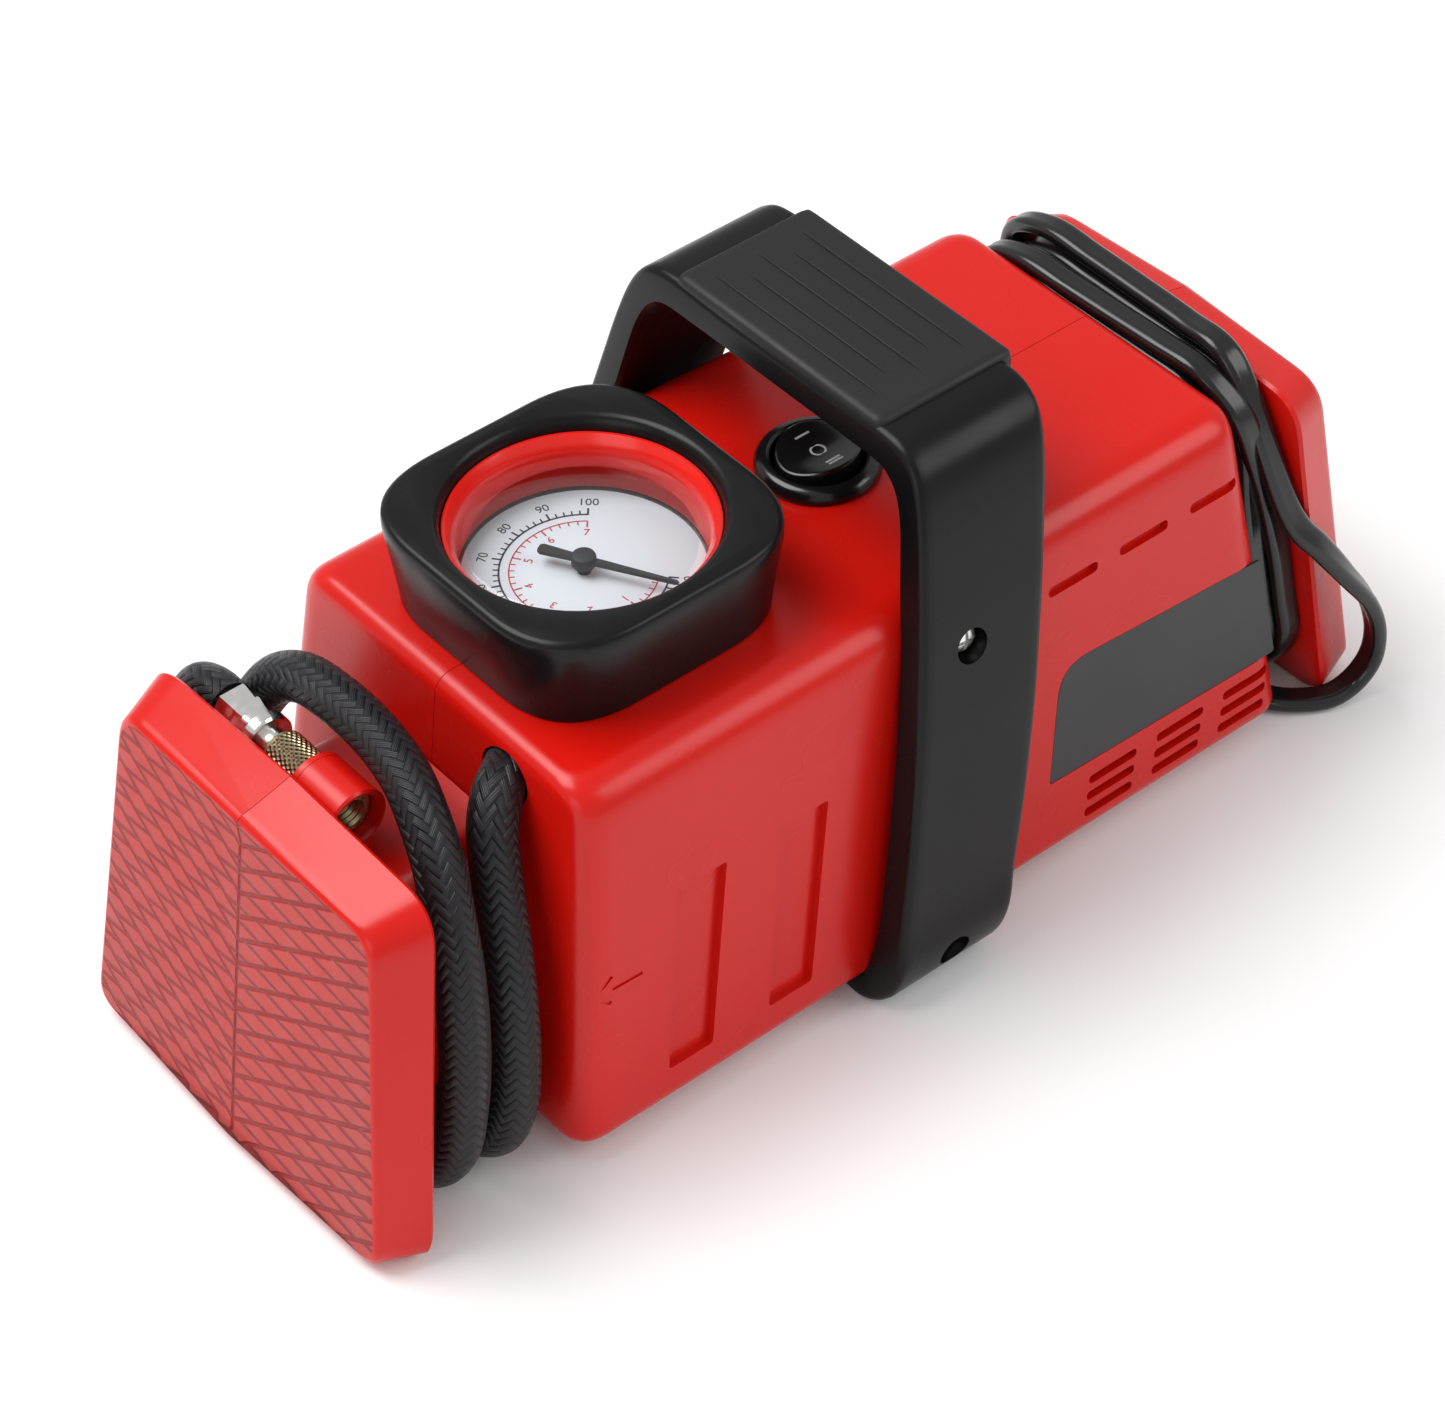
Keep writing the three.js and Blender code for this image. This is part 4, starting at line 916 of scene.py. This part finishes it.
def make_reel(end, name):
    rings = plate_rings(end)
    work = scratch(*loft(rings))
    body_end = front_x if end < 0 else rear_x
    neck_outline = rounded_polygon([(-25, 13, 5), (25, 13, 5), (19, 62, 5), (-19, 62, 5)], 8)
    rows = []
    for t in (0.0, 0.12, 0.25, 0.75, 0.9, 1.0):
        grow = 1.2 * (abs(t - 0.5) * 2) ** 6
        row = []
        for y, z in neck_outline:
            at_body, in_plate = body_end(z) + end * 0.3, end * (PLATE_FOOT - PLATE_THICK + 3 - PLATE_LEAN * z)
            row.append((at_body * (1 - t) + in_plate * t, y * (1 + grow / 25), z + (z - 38) / 38 * grow))
        rows.append(row)
    boolean(work, [loft(rows)], "UNION")
    if end < 0:
        boolean(work, [
            turned([(6.0, -10.6), (6.0, 1.2), (5.6, 1.6), (0.1, 1.6), (0.1, -11.0), (5.6, -11.0)],
                   (CHUCK_X, 0, CHUCK_Z), "y", 64, True),
            loft([[(CHUCK_X + a, y, z) for a, z in HOLDER_RIB] for y in (-10.2, 0.8)]),
        ], "UNION")
        boolean(work, [cylinder((CHUCK_X, -30, CHUCK_Z), (CHUCK_X, 30, CHUCK_Z), 4.75, 64)])
        boolean(work, [turned([(4.7, -10.3), (5.3, -11.2), (5.3, -14), (0.1, -14), (0.1, -10.3)],
                              (CHUCK_X, 0, CHUCK_Z), "y", 64, True)])
    whole = take(work)
    for side, tag in ((-1, "left"), (1, "right")):
        copy = bpy.data.objects.new("scratch", whole.copy())
        bpy.context.scene.collection.objects.link(copy)
        boolean(copy, [half_space(side, 0.06)], "INTERSECT")
        mesh = take(copy)
        mesh.materials.clear()
        mesh.materials.append(RED)
        mesh.materials.append(FACE)
        for polygon in mesh.polygons:
            x = polygon.center.x / MM * end + PLATE_LEAN * polygon.center.z / MM
            facing = polygon.normal.x * end > 0.95 and polygon.area > SMALLEST_FACE
            polygon.material_index = 1 if facing and x > PLATE_FOOT - 0.4 else 0
        obj = dress(mesh, f"{name}_shell_{tag}", RED, smooth=34,
                    replaces=(f"{name}_{tag}",))
        soften(obj, 0.25, 50)


make_reel(-1, "hose_reel")
make_reel(1, "cord_reel")

# ------------------------------------------------------------------ strap and grip
# half outlines of the band in (y, z), from under the housing to the top
STRAP_OUTER = [
    (0, 0), (38, 0), (47, 0.0), (51.4, 2.6), (53.6, 5.9), (54.8, 11.7), (54, 19.3), (52.6, 36.6), (50, 57),
    (47.9, 68.7), (46.1, 78.1), (44, 87.3), (41.4, 98.1), (39.1, 104.9), (36.8, 108.6), (33.2, 111.1),
    (28.6, 111.9), (15, 111.7), (0, 111.7),
]
STRAP_INNER = [
    (0, 3.2), (38, 3.2), (43, 3.2), (45, 5.2), (46.2, 8.4), (47.0, 14.1), (46.7, 23.3), (45.9, 31.9),
    (43.8, 52.9), (42, 64.8), (40.7, 73.4), (38.2, 83.7), (35, 98.3), (33.1, 102.3), (31.2, 104.2),
    (28.9, 105.3), (20, 105.6), (10, 105.6), (0, 105.6),
]


def band_line(points, count):
    """count points evenly along the smooth half outline, then its mirror image."""
    line = smooth_path([(0.0, y, z) for y, z in points], 0.6)
    along = np.concatenate([[0], np.cumsum([np.linalg.norm(b - a) for a, b in zip(line, line[1:])])])
    marks = np.linspace(0, along[-1], count)
    y = np.interp(marks, along, [p[1] for p in line])
    z = np.interp(marks, along, [p[2] for p in line])
    half = list(zip(y, z))
    return half + [(-a, b) for a, b in reversed(half[1:-1])]


def strap_edges(z):
    width = 27 + 2.4 * z / 112.6
    return -12 + 0.17 * z, -12 + 0.17 * z + width


def make_strap():
    count = 150
    outer, inner = band_line(STRAP_OUTER, count), band_line(STRAP_INNER, count)
    rings = []
    for (yo, zo), (yi, zi) in zip(outer, inner):
        def at(depth, across):
            """depth is 0 outside, 1 inside; across is from the hose-end edge, or if negative the other."""
            y, z = yo + (yi - yo) * depth, zo + (zi - zo) * depth
            x0, x1 = strap_edges(z)
            return (x0 + across if across >= 0 else x1 + across, y, z)
        thick = max(math.hypot(yo - yi, zo - zi), 0.1)
        e = min(1.5 / thick, 0.45)
        edge = [(0, 3), (0, 1.5), (e * 0.12, 0.75), (e * 0.45, 0.22), (e, 0.0), (1 - e * 0.5, 0.0),
                (1, 0.7), (1, 3)]
        ring = [at(*place) for place in edge]
        ring += [at(depth, min(-across, -1e-6)) for depth, across in reversed(edge)]
        rings.append(ring)
    work = scratch(*loft(rings, closed=True))
    cutters = []
    for side in (-1, 1):
        for x, z in STRAP_SCREWS:
            seat = half_width(x, z) + 2.2
            cutters.append(cylinder((x, side * seat, z), (x, side * 70, z), 3.4, 40))
    boolean(work, [merge(*cutters)])
    obj = dress(take(work), "strap_band", BLACK, smooth=40, replaces=("handle_strap",))
    soften(obj, 0.3, 50)


GRIP_TOP = 113.1


def make_grip():
    ends = [(-27.2, 1.2), (-26.9, 0.5), (-26.2, 0.05), (-25, 0)]
    rings = []
    for y, shrink in ends + [(-y, shrink) for y, shrink in reversed(ends)]:
        low, high = 104.2 + shrink, GRIP_TOP - shrink
        outline = rounded_polygon([(7.0 + shrink, low, 2.4), (38.2 - shrink, low, 2.4),
                                   (38.4 - shrink, high, 2.0), (7.2 + shrink, high, 2.0)], 8)
        rings.append([(x, y, z) for x, z in outline])
    work = scratch(*loft(rings))
    boolean(work, [box((6.0, 7.35), (-30, 30), (107.0, 107.5))])
    mesh = take(work)
    grip = dress(mesh, "grip_sleeve", RUBBER, smooth=40, replaces=("handle_grip",))
    soften(grip, 0.3, 50)
    ribs = []
    for x, half in [(12.6, 22.5), (17.4, 18.5), (22.4, 22.5), (27.4, 18.5), (32.4, 22.5)]:
        rows = []
        for t in np.linspace(-1, 1, 13):
            fade = math.sqrt(max(1 - abs(t) ** 10, 0.0))
            side, crest = 0.22 * fade, 0.36 * fade
            section = [(-0.45, -0.2), (-0.34, side), (0, crest), (0.34, side), (0.45, -0.2)]
            rows.append([(x + a, half * t, GRIP_TOP + h) for a, h in section])
        ribs.append(loft(rows))
    piece("grip_ribs", *merge(*ribs), RUBBER, slot="grip_rubber", smooth=50)


make_strap()
make_grip()

# ------------------------------------------------------------------ screws
def make_screw(name, x, z, side, seat, length, material, node_name):
    profile = [(1.5, -length), (1.5, 0.0), (3.0, 0.0), (3.05, 1.0), (2.85, 1.8), (2.3, 2.4), (1.4, 2.75),
               (0.01, 2.85)]
    work = scratch(*turned([(0.01, -length)] + profile, (0, 0, 0), "z", 40))
    cross = merge(box((-0.35, 0.35), (-1.9, 1.9), (1.6, 4)))
    boolean(work, [cross, box((-1.9, 1.9), (-0.35, 0.35), (1.6, 4))])
    mesh = take(work)
    turn = Matrix.Rotation(math.radians(-90 * side), 4, "X")
    place = Matrix.Translation(Vector((x, side * seat, z)) * MM)
    mesh.transform(place @ turn @ Matrix.Rotation(0.5 + x, 4, "Z"))
    dress(mesh, name, material, smooth=35, replaces=(node_name,))


def make_screws():
    number = 1
    for side in (-1, 1):
        for x, z in STRAP_SCREWS:
            seat = half_width(x, z) + 2.5
            make_screw(f"band_screw_{number}", x, z, side, seat, 9, ZINC, f"strap_screw_{number}")
            number += 1
    for number, (x, z) in enumerate(CASE_SCREWS, 1):
        seat = half_width(x, z) - 4.7
        make_screw(f"shell_screw_{number}", x, z, 1, seat, 50, STEEL, f"case_screw_{number}")


make_screws()

# ------------------------------------------------------------------ label
def make_label():
    outline = spread(label_outline(0), 3)
    front = [(x, -(half_width(x, z) - 0.05), z) for x, z in outline]
    back = [(x, -(half_width(x, z) - 0.5), z) for x, z in outline]
    piece("blank_label", *loft([front, back]), LABEL, slot="label_film", replaces=("label_plate",))


make_label()

# ------------------------------------------------------------------ gauge
CORNER_REACH = 1.12              # a drawn corner starts this much further out than a round one


def make_bezel():
    stations = [(81.3, 27.0, 15), (84, 27.3, 15.3), (90, 28.0, 15.8), (96.5, 28.9, 16.3), (98.8, 29.0, 16.4),
                (99.7, 28.85, 16.2), (100.25, 28.4, 15.9), (100.5, 27.7, 15.4)]
    rings = []
    for z, half, corner in stations:
        outline = rectangle((-half, half), (-half, half), corner * CORNER_REACH, 16)
        rings.append([(GAUGE_X + a, b, z) for a, b in outline])
    work = scratch(*loft(rings))
    bore = [(0.01, 70), (23.9, 70), (23.9, 95), (24.3, 98), (24.7, 99.6), (25.3, 100.2), (26.2, 100.6),
            (26.2, 105), (0.01, 105)]
    boolean(work, [turned(bore, (GAUGE_X, 0, 0), "z", 128)])
    dress(take(work), "bezel_shell", BLACK, smooth=34, replaces=("gauge_bezel",))


def make_gauge():
    centre = (GAUGE_X, 0, 0)
    ring = [(21.9, 87), (23.6, 87), (23.7, 94.6), (24.2, 97.2), (24.0, 97.7), (23.4, 97.8), (22.6, 96.6),
            (21.95, 95.3)]
    piece("red_ring", *turned(ring, centre, sides=128, closed=True), RING_RED, slot="red_ring_plastic",
          replaces=("gauge_ring",))
    disc = [(1.2, 85.4), (21.3, 85.4), (21.4, 86.45), (21.3, 86.5), (1.2, 86.5)]
    piece("dial_disc", *turned(disc, centre, sides=96, closed=True), DIAL, slot="dial_face",
          replaces=("gauge_dial",))
    lens = [(19.9, 86.9), (21.6, 86.9), (21.75, 88.2), (21.5, 89.0), (21.8, 90.0), (21.5, 91.0), (21.8, 92.0),
            (21.6, 93.2), (21.8, 94.4), (21.4, 95.2), (20.4, 95.6), (0.01, 96.0), (0.01, 94.4), (19.2, 93.8),
            (19.8, 93.0)]
    piece("clear_lens", *turned(lens, centre, sides=128), CLEAR, slot="clear_plastic", smooth=50,
          replaces=("gauge_lens",))


INK_Z, INK_THICK = 86.52, 0.05   # the printing stands just clear of the dial


def mark(angle, r0, r1, width, z=INK_Z):
    """A short radial bar on the dial."""
    c, s = math.cos(angle), math.sin(angle)
    corners = [(r0, -width / 2), (r1, -width / 2), (r1, width / 2), (r0, width / 2)]
    rings = [[(GAUGE_X + r * c - t * s, r * s + t * c, h) for r, t in corners] for h in (z, z + INK_THICK)]
    return loft(rings)


def arc_mark(start, end, radius, width, z=INK_Z):
    rings = []
    for k in range(97):
        a = start + (end - start) * k / 96
        section = rectangle_corners((radius, radius + width), (z, z + INK_THICK))
        rings.append([(GAUGE_X + r * math.cos(a), r * math.sin(a), h) for r, h in section])
    return loft(rings)


def number_mesh(text, angle, radius, size, z=INK_Z):
    """A generic scale number, its top pointing outwards."""
    curve = bpy.data.curves.new("digits", "FONT")
    curve.body, curve.size, curve.align_x, curve.align_y = text, size * MM, "CENTER", "CENTER"
    curve.extrude = 0.02 * MM
    temporary = bpy.data.objects.new("digits", curve)
    bpy.context.scene.collection.objects.link(temporary)
    graph = bpy.context.evaluated_depsgraph_get()
    mesh = bpy.data.meshes.new_from_object(temporary.evaluated_get(graph), depsgraph=graph)
    bpy.data.objects.remove(temporary)
    turn = Matrix.Rotation(angle - math.pi / 2, 4, "Z")
    place = Vector((GAUGE_X + radius * math.cos(angle), radius * math.sin(angle), z)) * MM
    mesh.transform(Matrix.Translation(place) @ turn)
    points = [tuple(c / MM for c in v.co) for v in mesh.vertices]
    return points, [tuple(p.vertices) for p in mesh.polygons]


ZERO, SWEEP = math.radians(-47), math.radians(-264)


def make_scale():
    black, red = [arc_mark(ZERO, ZERO + SWEEP, 14.6, 0.32)], [arc_mark(ZERO, ZERO + SWEEP, 12.9, 0.22)]
    for k in range(51):
        long = k % 5 == 0
        black.append(mark(ZERO + SWEEP * k / 50, 14.6, 16.4 if long else 15.8, 0.34 if long else 0.26))
    for k in range(36):
        long = k % 5 == 0
        red.append(mark(ZERO + SWEEP * k / 35, 11.4 if long else 12.0, 13.0, 0.26 if long else 0.2))
    for value in range(0, 101, 10):
        black.append(number_mesh(str(value), ZERO + SWEEP * value / 100, 18.0, 2.5))
    for value in range(8):
        red.append(number_mesh(str(value), ZERO + SWEEP * value / 7, 10.0, 2.3))
    piece("scale_black", *merge(*black), INK_BLACK, smooth=20, slot="needle_paint")
    piece("scale_red", *merge(*red), INK_RED, smooth=20, slot="red_ring_plastic")


def make_needle():
    """Pointer with a broad tail, turned to its rest against the stop."""
    angle = math.radians(-61)
    half = [(-8.4, 0.7), (-7.8, 1.15), (-2.4, 0.85), (-1.0, 0.8), (1.5, 0.8), (17.0, 0.35)]
    outline = [(a, -b) for a, b in half] + [(17.6, 0.0)] + half[::-1]
    c, s = math.cos(angle), math.sin(angle)
    rings = []
    for z, scale in ((88.8, 0.96), (88.9, 1.0), (89.35, 1.0), (89.5, 0.92)):
        rings.append([(GAUGE_X + a * c - b * scale * s, a * s + b * scale * c, z) for a, b in outline])
    profile = [(0.01, 83.4), (0.9, 83.4), (0.9, 87.6), (2.0, 88.0), (2.2, 88.3), (2.2, 89.8), (2.0, 90.2),
               (1.6, 90.35), (0.01, 90.4)]
    hub = turned(profile, (GAUGE_X, 0, 0), sides=48)
    piece("pointer", *merge(loft(rings), hub), INK_BLACK, body="needle", slot="needle_paint",
          replaces=("gauge_needle",))


make_bezel()
make_gauge()
make_scale()
make_needle()

# ------------------------------------------------------------------ switch
def make_switch():
    centre = (SWITCH_X, 0, 0)
    flange = [
        (9.7, 60), (9.7, 81.2), (11.5, 81.25), (11.6, 81.5), (11.5, 82.3), (11.0, 83.2), (10.2, 83.8),
        (9.3, 83.9), (8.75, 83.5), (8.6, 82.6), (8.6, 74.0), (8.6, 70.0), (0.01, 70.0), (0.01, 60),
    ]
    piece("switch_collar", *turned(flange, centre, sides=96), SWITCH_BLACK, slot="black_plastic",
          replaces=("switch_housing",))
    tabs = merge(*[box((SWITCH_X - 2.4, SWITCH_X + 2.4), (y - 0.4, y + 0.4), (53, 60.5)) for y in (-5, 0, 5)])
    blades = piece("switch_tabs", *tabs, BRASS, slot="brass")
    soften(blades, 0.1)
    rings = []

    def top(y):
        return 84.4 + 1.5 * (abs(y) / 7.25) ** 1.6

    # share of the way out from the middle, and drop below the dished top; the last ring is the bottom
    steps = ((0.02, 0), (0.3, 0), (0.6, 0), (0.85, 0), (0.95, 0.08), (0.985, 0.3), (1.0, 0.7), (1.0, None))
    for f, drop in steps:
        ring = []
        for k in range(72):
            a = 2 * math.pi * k / 72
            x, y = 8.1 * f * math.cos(a), 7.25 * f * math.sin(a)
            ring.append((SWITCH_X + x, y, 75.5 if drop is None else top(y) - drop))
        rings.append(ring)
    piece("rocker_cap", *loft(rings), SWITCH_BLACK, body="rocker", slot="black_plastic",
          replaces=("switch_rocker",))

    def bar(y, half):
        plan = rectangle_corners((SWITCH_X - half, SWITCH_X + half), (y - 0.22, y + 0.22))
        return loft([[(a, b, top(y) + h) for a, b in plan] for h in (-0.1, 0.06)])

    ring = [(1.15, -0.1), (1.55, -0.1), (1.55, 0.07), (1.15, 0.07)]
    circle = turned(ring, (SWITCH_X, 0, top(0.9)), sides=48, closed=True)
    piece("rocker_marks", *merge(bar(4.4, 1.6), circle, bar(-4.0, 1.6), bar(-4.9, 1.6)), MARK, body="rocker",
          slot="dial_face")


make_switch()

# ------------------------------------------------------------------ CAD pieces that are shown as they are
KEPT = {
    "gauge_case": STEEL, "gauge_stem": BRASS, "hose_barb": BRASS, "chuck_washer": RUBBER,
    "cord_grommet": CORD,
    "motor_can": STEEL, "motor_endcap": NYLON, "motor_armature": STEEL, "cooling_fan": BLACK,
    "drive_gear": NYLON,
    "motor_pinion": BRASS, "crankshaft": STEEL, "pump_frame": ALUMINIUM, "cylinder_head": ALUMINIUM,
    "piston": ALUMINIUM, "piston_rod": NYLON, "air_manifold": BRASS, "air_tube": CLEAR, "power_board": BOARD,
    "transformer": STEEL, "capacitor": SLEEVE, "heat_sink": ALUMINIUM,
}
for name, material in KEPT.items():
    for material_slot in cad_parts[name].material_slots:
        material_slot.material = material

# ------------------------------------------------------------------ floor and light
def paint(name, colour):
    material, tree, shader = new_material(name)
    shade = mix_colour(tree, ramp(tree, noise(tree, 3, 3), 0, 1), colour, tuple(c * 0.99 for c in colour))
    tree.links.new(shade, shader.inputs["Base Color"])
    shader.inputs["Roughness"].default_value = 0.6
    shader.inputs["Specular IOR Level"].default_value = 0.2
    return material


def make_stage():
    mesh = bpy.data.meshes.new("floor")
    reach = 3.0
    corners = [(x, y, 0) for x, y in rectangle_corners((-reach, reach), (-reach, reach))]
    mesh.from_pydata(corners, [], [(0, 1, 2, 3)])
    mesh.materials.append(paint("floor_paint", (0.90, 0.90, 0.905)))
    floor = bpy.data.objects.new("floor", mesh)
    bpy.context.scene.collection.objects.link(floor)
    world = bpy.data.worlds.new("studio")
    bpy.context.scene.world = world
    world.use_nodes = True
    world.node_tree.nodes["Background"].inputs["Color"].default_value = (1.0, 1.0, 1.0, 1)
    world.node_tree.nodes["Background"].inputs["Strength"].default_value = 0.55


def area_light(name, place, target, size, power):
    data = bpy.data.lights.new(name, "AREA")
    data.shape, data.size, data.size_y, data.energy = "RECTANGLE", size[0], size[1], power
    light = bpy.data.objects.new(name, data)
    bpy.context.scene.collection.objects.link(light)
    light.location = place
    light.rotation_euler = (Vector(target) - Vector(place)).to_track_quat("-Z", "Y").to_euler()


make_stage()
area_light("key", (-0.45, 0.5, 1.2), (0, 0, 0.05), (0.9, 0.9), 17)
area_light("side", (0.8, -0.9, 0.9), (0, 0, 0.05), (0.8, 0.8), 6)
area_light("front", (-1.2, -0.5, 0.5), (0, 0, 0.05), (0.7, 0.7), 2)
bpy.context.scene.view_settings.view_transform = "Standard"
